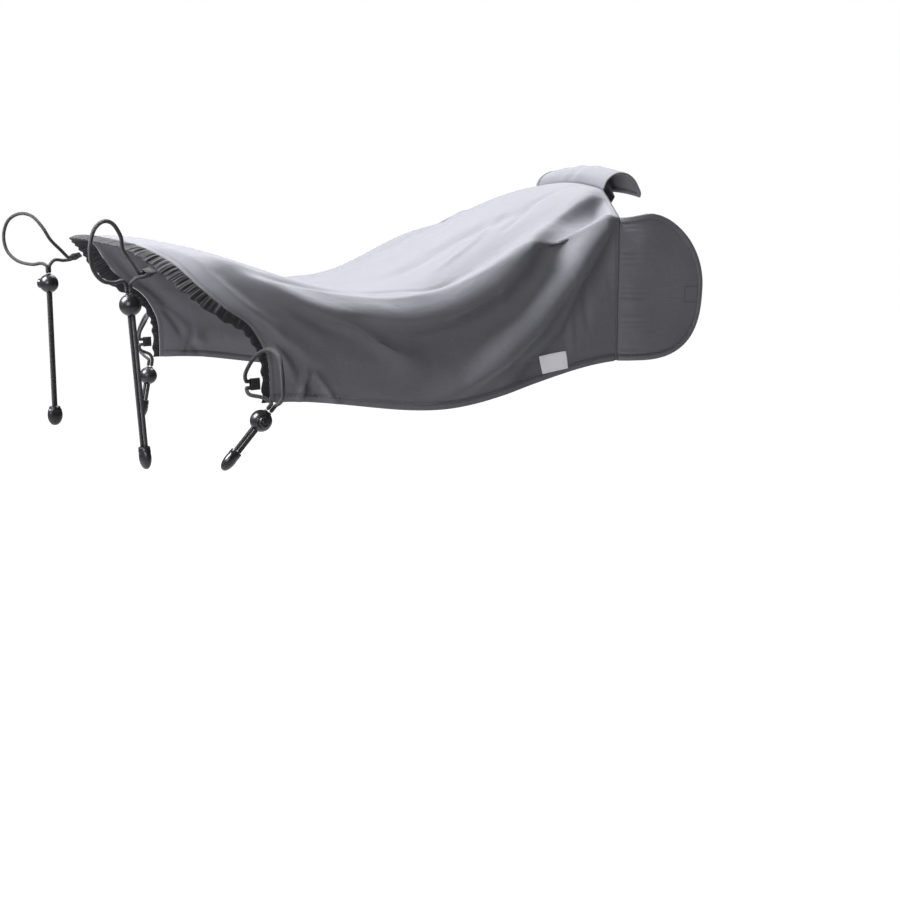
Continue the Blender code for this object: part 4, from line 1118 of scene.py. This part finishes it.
CORD_SETS = {
    "left_bar": {
        "exit": (-0.5976, 0.1785, -0.0765), "out": (-0.8785, 0.3295, -0.3458),
        "up": (-0.1389, 0.5165, 0.8449), "apart": (-0.0015, -0.0025, 0.0013),
        "ball": (-0.6280, 0.1700, -0.1060), "down": (0.0, 0.0, -1.0),
        "button": (-1.0, 1.0, 0.0), "tail": 0.1350, "end_turn": 25,
        "over": (
            (-0.6110, 0.1760, -0.0680), (-0.6240, 0.1700, -0.0550), (-0.6325, 0.1720, -0.0400),
            (-0.6424, 0.1812, -0.0275), (-0.6544, 0.1932, -0.0250), (-0.6657, 0.2045, -0.0330),
            (-0.6710, 0.2098, -0.0500), (-0.6686, 0.2074, -0.0680), (-0.6587, 0.1975, -0.0800),
            (-0.6445, 0.1833, -0.0840), (-0.6350, 0.1745, -0.0825)),
        "under": ((-0.6080, 0.1815, -0.0800), (-0.6190, 0.1765, -0.0790))},
    "right_bar": {
        "exit": (-0.5976, -0.1785, -0.0765), "out": (-0.8785, -0.3295, -0.3458),
        "up": (-0.1389, -0.5165, 0.8449), "apart": (-0.0015, 0.0025, 0.0013),
        "ball": (-0.6110, -0.1700, -0.1070), "down": (0.06, 0.0, -1.0),
        "button": (1.0, 1.0, 0.0), "tail": 0.1310, "end_turn": 42,
        "over": (
            (-0.6090, -0.1750, -0.0660), (-0.6170, -0.1720, -0.0520), (-0.6190, -0.1747, -0.0400),
            (-0.6284, -0.1842, -0.0275), (-0.6404, -0.1962, -0.0250), (-0.6517, -0.2075, -0.0330),
            (-0.6570, -0.2128, -0.0500), (-0.6546, -0.2104, -0.0680), (-0.6447, -0.2005, -0.0800),
            (-0.6305, -0.1863, -0.0840), (-0.6192, -0.1750, -0.0830)),
        "under": ((-0.6060, -0.1800, -0.0805),)},
    "left_tube": {
        "exit": (-0.5067, 0.2211, -0.1854), "out": (-0.9963, 0.0819, -0.0253),
        "up": (0.0812, 0.9963, 0.0278), "apart": (-0.0001, -0.0001, 0.0032),
        "ball": (-0.4965, 0.2420, -0.2310), "down": (-0.2, 0.0, -1.0),
        "button": (0.0, 1.0, 0.0), "tail": 0.0200, "end_turn": -60,
        "over": (
            (-0.5100, 0.2215, -0.1730), (-0.5010, 0.2260, -0.1590), (-0.4940, 0.2410, -0.1520),
            (-0.4950, 0.2600, -0.1590), (-0.5010, 0.2690, -0.1780), (-0.5030, 0.2640, -0.1970),
            (-0.4990, 0.2510, -0.2060)),
        "under": ((-0.5090, 0.2265, -0.1960), (-0.4955, 0.2340, -0.2030))},
    "right_tube": {
        "exit": (-0.5067, -0.2211, -0.1854), "out": (-0.9963, -0.0819, -0.0253),
        "up": (0.0812, -0.9963, 0.0278), "apart": (-0.0001, 0.0001, 0.0032),
        "ball": (-0.5030, -0.2420, -0.2190), "down": (-0.66, 0.0, -0.75),
        "button": (0.0, -1.0, 0.0), "tail": 0.0270, "end_turn": -60,
        "over": (
            (-0.5110, -0.2215, -0.1730), (-0.5020, -0.2260, -0.1570), (-0.4930, -0.2410, -0.1490),
            (-0.4890, -0.2600, -0.1550), (-0.4890, -0.2690, -0.1740), (-0.4870, -0.2640, -0.1920),
            (-0.4860, -0.2530, -0.2000)),
        "under": ((-0.5095, -0.2270, -0.1945), (-0.4990, -0.2350, -0.1970))}}


def route_line(points):
    """A smooth line whose first and last stretches stay straight."""
    dense = smooth_line(points)
    per_stretch = (len(dense) - 1) // (len(points) - 1)
    return [Vector(points[0]), *dense[per_stretch:-per_stretch], Vector(points[-1])]


def slot_cutter(travel=0.0):
    """The slot for two strands, wider to one side where the button slides past them."""
    end = 2 * BALL_RADIUS
    return box_shape((-SLOT_HALF, -SLOT_REACH, -end), (SLOT_HALF + travel, SLOT_REACH, end))


def finish_plastic(name, shape, finish, matrix, sharp_from):
    """A moulded piece in its place, its shading smooth below the given angle in degrees."""
    bmesh.ops.transform(shape, matrix=matrix, verts=shape.verts)
    piece = add_piece(name, shape, finish)
    piece.data.set_sharp_from_angle(angle=math.radians(sharp_from))
    return piece


def build_ball(name, finish, matrix):
    """The lock's ball, with a raised rim round its button and worn-in mouths for the cords."""
    shape = bmesh.new()
    bmesh.ops.create_uvsphere(shape, u_segments=64, v_segments=40, radius=BALL_RADIUS)
    rim_at = math.sqrt(BALL_RADIUS ** 2 - BUTTON_RADIUS ** 2)
    wide = BUTTON_RADIUS + BUTTON_CLEARANCE
    bore = spun((
        (BORE_FLOOR, 0.0), (BORE_FLOOR, wide), (rim_at - 0.0009, wide), (rim_at - 0.0003, wide + 0.0005),
        (rim_at + BORE_CHAMFER, wide + BORE_CHAMFER), (2 * BALL_RADIUS, wide + BORE_CHAMFER),
        (2 * BALL_RADIUS, 0.0)))
    slot = slot_cutter()
    corners = [edge for edge in slot.edges if abs(edge.verts[0].co.z - edge.verts[1].co.z) > BALL_RADIUS]
    bmesh.ops.bevel(
        slot, geom=corners, offset=SLOT_CORNER, offset_type="OFFSET", segments=4, profile=0.5,
        affect="EDGES", material=-1)
    return finish_plastic(name, carved(shape, [bore, slot]), finish, matrix, 38)


def build_button(name, finish, matrix):
    """A slotted plunger, its domed head turned with two fine grooves."""
    foot, top, wide = PLUNGER_FOOT, BALL_RADIUS + BUTTON_PROUD, BUTTON_RADIUS
    profile = [(foot, 0.0), (foot, wide - 0.0003), (foot + 0.0003, wide)]
    profile += [(top - 0.0014, wide), (top - 0.0010, wide - 0.00008)]
    profile += [(top - 0.0005, wide - 0.0004), (top - 0.0002, wide - 0.0009)]
    for ring in (0.0036, 0.0024):
        profile += [(top - 0.0001, ring + 0.0004), (top - 0.00045, ring), (top - 0.0001, ring - 0.0004)]
    profile += [(top, 0.0010), (top, 0.0)]
    return finish_plastic(name, carved(spun(profile), [slot_cutter(BUTTON_TRAVEL)]), finish, matrix, 38)


def build_spring(name, finish, matrix):
    """The coil behind the button."""
    first, last = BORE_FLOOR + SEAT_GAP + SPRING_WIRE, PLUNGER_FOOT - SEAT_GAP - SPRING_WIRE
    per_turn = 24
    line = []
    for step in range(SPRING_TURNS * per_turn + 1):
        turn = 2 * math.pi * step / per_turn
        place = first + (last - first) * step / (SPRING_TURNS * per_turn)
        line.append(matrix @ Vector((place, SPRING_RADIUS * math.cos(turn), SPRING_RADIUS * math.sin(turn))))
    return tube(name, line, SPRING_WIRE, finish, around=8, spacing=0.0008, caps=(0.0001, 0.0001))


def build_cord_end(name, finish, matrix):
    """A flat oval toggle with a short neck and a moulding line round its edge."""
    thick, wide, long = END_SIZE
    rings = 25
    profile = [(0.0, 0.0), (0.0, 0.30), (-0.0004, 0.345), (-0.0016, 0.36), (-0.0030, 0.385)]
    for step in range(3, rings):
        angle = math.pi * step / rings
        along = math.cos(angle) * long / 2
        profile.append((along - (long / 2 - END_TOP), 0.5 * math.sin(angle) ** 0.92))
    profile = [point for point in profile if point[0] < -0.0035 or point in profile[:5]]
    profile.append((-long + END_TOP, 0.0))
    shape = spun([(place, share * wide) for place, share in profile], along_x=False)
    for vert in shape.verts:
        neck = smooth_step(1 + vert.co.z / END_NECK_LENGTH)
        vert.co.x *= thick / wide + (END_NECK - thick / wide) * neck
        seam = math.exp(-(vert.co.x / 0.00035) ** 2) * smooth_step(-vert.co.z / 0.004)
        if abs(vert.co.y) > 0.001:
            vert.co.y += math.copysign(END_SEAM * seam, vert.co.y)
    return finish_plastic(name, shape, finish, matrix, 50)


def build_cord_tab(name, cord, finish):
    """A folded strip of webbing round the two strands, flat where it is sewn to the casing."""
    out, up = Vector(cord["out"]), Vector(cord["up"])
    side = up.cross(out).normalized()
    length, wide, thick = CORD_TAB
    start = Vector(cord["exit"]) - out * (length + SEAT_GAP)
    start, out, up, side = (np.array(tuple(part)) for part in (start, out, up, side))

    def place(a, b):
        angle = b * 2 * math.pi
        fat = WEBBING_SEWN + (thick / 2 - 0.0013) * smooth_step((a - 0.15) / 0.6)
        x = np.sign(np.cos(angle)) * np.abs(np.cos(angle)) ** 0.6 * (wide / 2 - 0.0003)
        y = np.sign(np.sin(angle)) * np.abs(np.sin(angle)) ** 0.8 * fat
        return start + out * (a * length)[:, None] + side * x[:, None] + up * y[:, None]
    shape = grid_shape((24, 48), place, (length, WEBBING_WIDTH))
    bmesh.ops.remove_doubles(shape, verts=shape.verts, dist=0.00001)
    bmesh.ops.recalc_face_normals(shape, faces=shape.faces)
    return thicken(add_piece(name, shape, finish), TAPE_CLOTH)


def dressed_cord(piece, node, body):
    """Put a tube in place of a strand of the imported model."""
    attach(piece, body)
    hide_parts(node)


def build_cord_set(name, cord, braid, plastic, steel, webbing):
    """A tab, a doubled cord in a loop, its lock with button and spring, two tails and a cord end."""
    down = Vector(cord["down"]).normalized()
    lock = frame_matrix(Vector(cord["ball"]), cord["button"], -down)
    side = lock.to_3x3().col[1]
    swivel = Vector(cord["ball"]) - down * (BALL_RADIUS + SWIVEL_RISE)
    first = CORD_RADIUS + SEAT_GAP
    last = 2 * BALL_RADIUS + SWIVEL_RISE + cord["tail"]

    tab = build_cord_tab(name + "_webbing", cord, webbing)
    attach(tab, "shade")
    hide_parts(name + "_cord_tab")

    end_place = swivel + down * (last + SEAT_GAP)
    turned = Matrix.Rotation(math.radians(cord["end_turn"]), 3, down) @ Vector(cord["button"])
    end = build_cord_end(name + "_toggle", plastic, frame_matrix(end_place, turned, -down))
    ball = build_ball(name + "_ball", plastic, lock)
    button = build_button(name + "_press_button", plastic, lock)
    for piece, node, body in (
            (end, "cord_end", "tail"), (ball, "lock", "lock"), (button, "button", "button")):
        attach(piece, f"{name}_{body}")
        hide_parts(f"{name}_{node}")

    spring = build_spring(name + "_coil", steel, lock)
    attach(spring, name + "_lock")
    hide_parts(name + "_spring")
    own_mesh(spring)

    for key, sign in (("over", 1), ("under", -1)):
        start = Vector(cord["exit"]) + Vector(cord["apart"]) * sign
        joint = swivel + side * STRAND_OFFSET * sign
        loop = route_line([
            start, start + Vector(cord["out"]) * STRAIGHT_OUT, *(Vector(place) for place in cord[key]),
            joint - down * STRAIGHT_IN, joint])
        loop.append(joint + down * CORD_RADIUS)
        piece = tube(f"{name}_cord_{key}", loop, CORD_RADIUS, braid, caps=(0.0004, CORD_RADIUS))
        dressed_cord(piece, f"{name}_loop_{key}", "shade")
        tail = [joint + down * (first + (last - first) * step / 30) for step in range(31)]
        piece = tube(f"{name}_hanging_{key}", tail, CORD_RADIUS, braid)
        dressed_cord(piece, f"{name}_tail_{key}", name + "_tail")


# Studio: floor, light and camera
def build_studio():
    """Pale floor, even air, three soft lamps and the camera."""
    floor = Finish("pale_floor", (FLOOR_GREY, FLOOR_GREY, FLOOR_GREY), 0.9)
    shape = bmesh.new()
    bmesh.ops.create_grid(shape, x_segments=1, y_segments=1, size=FLOOR_HALF)
    bmesh.ops.translate(shape, vec=(0, 0, FLOOR_LEVEL), verts=shape.verts)
    ground = add_piece("studio_floor", shape, floor.made)
    seen = floor.node("ShaderNodeLightPath").outputs["Is Camera Ray"]
    glow = floor.reckon(seen, FLOOR_GLOW, "MULTIPLY")
    floor.tree.links.new(glow, floor.shader.inputs["Emission Strength"])
    floor.shader.inputs["Emission Color"].default_value = (1, 1, 1, 1)

    world = bpy.data.worlds.new("studio_air")
    bpy.context.scene.world = world
    world.use_nodes = True
    tree = world.node_tree
    paths = tree.nodes.new("ShaderNodeLightPath")
    level = tree.nodes.new("ShaderNodeMapRange")
    level.inputs["To Min"].default_value = WORLD_LEVEL
    level.inputs["To Max"].default_value = 1.0
    tree.links.new(paths.outputs["Is Camera Ray"], level.inputs["Value"])
    sky = tree.nodes["Background"]
    sky.inputs["Color"].default_value = (1, 1, 1, 1)
    tree.links.new(level.outputs[0], sky.inputs["Strength"])

    for name, (place, target, size, power, colour) in LAMPS.items():
        data = bpy.data.lights.new(name, "AREA")
        data.shape = "RECTANGLE"
        data.size, data.size_y = size
        data.energy = power
        data.color = colour
        lamp = bpy.data.objects.new(name, data)
        lamp.location = place
        lamp.rotation_euler = (Vector(target) - Vector(place)).to_track_quat("-Z", "Y").to_euler()
        bpy.context.scene.collection.objects.link(lamp)

    data = bpy.data.cameras.new("studio_camera")
    data.lens = LENS
    data.sensor_width = 36.0
    camera = bpy.data.objects.new("studio_camera", data)
    camera.location = CAMERA_PLACE
    camera.rotation_euler = (math.radians(CAMERA_PITCH), 0, math.radians(CAMERA_YAW))
    bpy.context.scene.collection.objects.link(camera)
    bpy.context.scene.camera = camera
    bpy.context.scene.view_settings.view_transform = "Standard"


build_studio()
GREY_WEAVE = woven_cloth("grey_weave")
BLACK_GATHER = gathered_cloth("black_gather")
BRAID = braided_elastic("elastic_braid")
MOULDED = moulded_plastic("moulded_black")
STEEL_FINISH = plain_steel("bright_steel")
SATIN = satin_tape("white_satin")

for set_name, cord_set in CORD_SETS.items():
    build_cord_set(set_name, cord_set, BRAID, MOULDED, STEEL_FINISH, BLACK_GATHER)


def dress(piece, body, node=None):
    """A piece rides with a body when one is given, and it may stand for a node, which is then hidden."""
    if body:
        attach(piece, body)
    if node:
        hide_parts(node)
    return piece


# The cloth pieces: sail, hems, casing, label, flaps, tabs and magnet pockets
SIDES = {"left": 1, "right": -1}

sail = dress(build_sail(GREY_WEAVE), "shade", "main_sail")
sail_hems = [
    dress(build_sail_hem(name + "_sail_hem", side, GREY_WEAVE), "shade")
    for name, side in SIDES.items()]

casing = dress(build_casing(BLACK_GATHER), "shade", "front_casing")
label = dress(build_label(SATIN), "shade", "label")

top_flap = dress(build_top_flap(GREY_WEAVE), None, "top_flap")
top_hem = dress(build_top_hem(GREY_WEAVE), None)
top_tab = dress(build_top_tab(GREY_WEAVE), None, "top_tab")
for piece in (top_flap, top_hem):
    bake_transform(piece)
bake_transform(top_tab)

for name, side in SIDES.items():
    flap = build_side_flap(name + "_flap_cloth", side, GREY_WEAVE)
    dress(flap, None, name + "_side_flap")
    hem = dress(build_flap_hem(name + "_flap_hem", side, GREY_WEAVE), None)
    tab = build_side_tab(name + "_tab_cloth", side, GREY_WEAVE)
    dress(tab, None, name + "_side_tab")
    for piece, body in ((flap, "_side_flap"), (hem, "_side_flap"), (tab, "_side_tab")):
        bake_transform(piece)

pocket_reach = CLOTH / 2 + SEAT_GAP
pocket_places = {}
for name, side in SIDES.items():
    at = Vector((MAGNET_X, side * float(flap_y(MAGNET_X)), MAGNET_Z))
    out = Vector((0, side, 0))
    pocket_places[name + "_flap"] = (at - out * pocket_reach, out, POCKET_SIDE, name + "_side_flap")
    pocket_places[name + "_tab"] = (
        at - out * (FLAP_TO_TAB - pocket_reach), -out, POCKET_SIDE, name + "_side_tab")
out = Vector((math.sin(TOP_END), 0, math.cos(TOP_END)))
for name, depth, sign in (("top_flap", pocket_reach, 1), ("top_tab", FLAP_TO_TAB - pocket_reach, -1)):
    at = tail_point(TOP_TAIL - TOP_MAGNET_FROM_END, depth)
    pocket_places[name] = (Vector((at.x, 0, at.y)), out * sign, TOP_POCKET_SIDE, name)
for name, (at, outwards, side_length, body) in pocket_places.items():
    pocket = build_pocket(name + "_magnet_pocket", at, outwards, side_length, GREY_WEAVE)
    dress(pocket, body, name + "_pocket")

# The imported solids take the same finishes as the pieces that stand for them
finishes = {
    "black_cloth": BLACK_GATHER, "black_elastic": BRAID, "black_plastic": MOULDED,
    "steel": STEEL_FINISH, "white_tape": SATIN, "grey_cloth": GREY_WEAVE}
slots = {part["node"]: part["material_slot"] for part in frame["record"]["subparts"]}
for node, obj in frame["nodes"].items():
    obj.data.materials.clear()
    obj.data.materials.append(finishes[slots[node]])
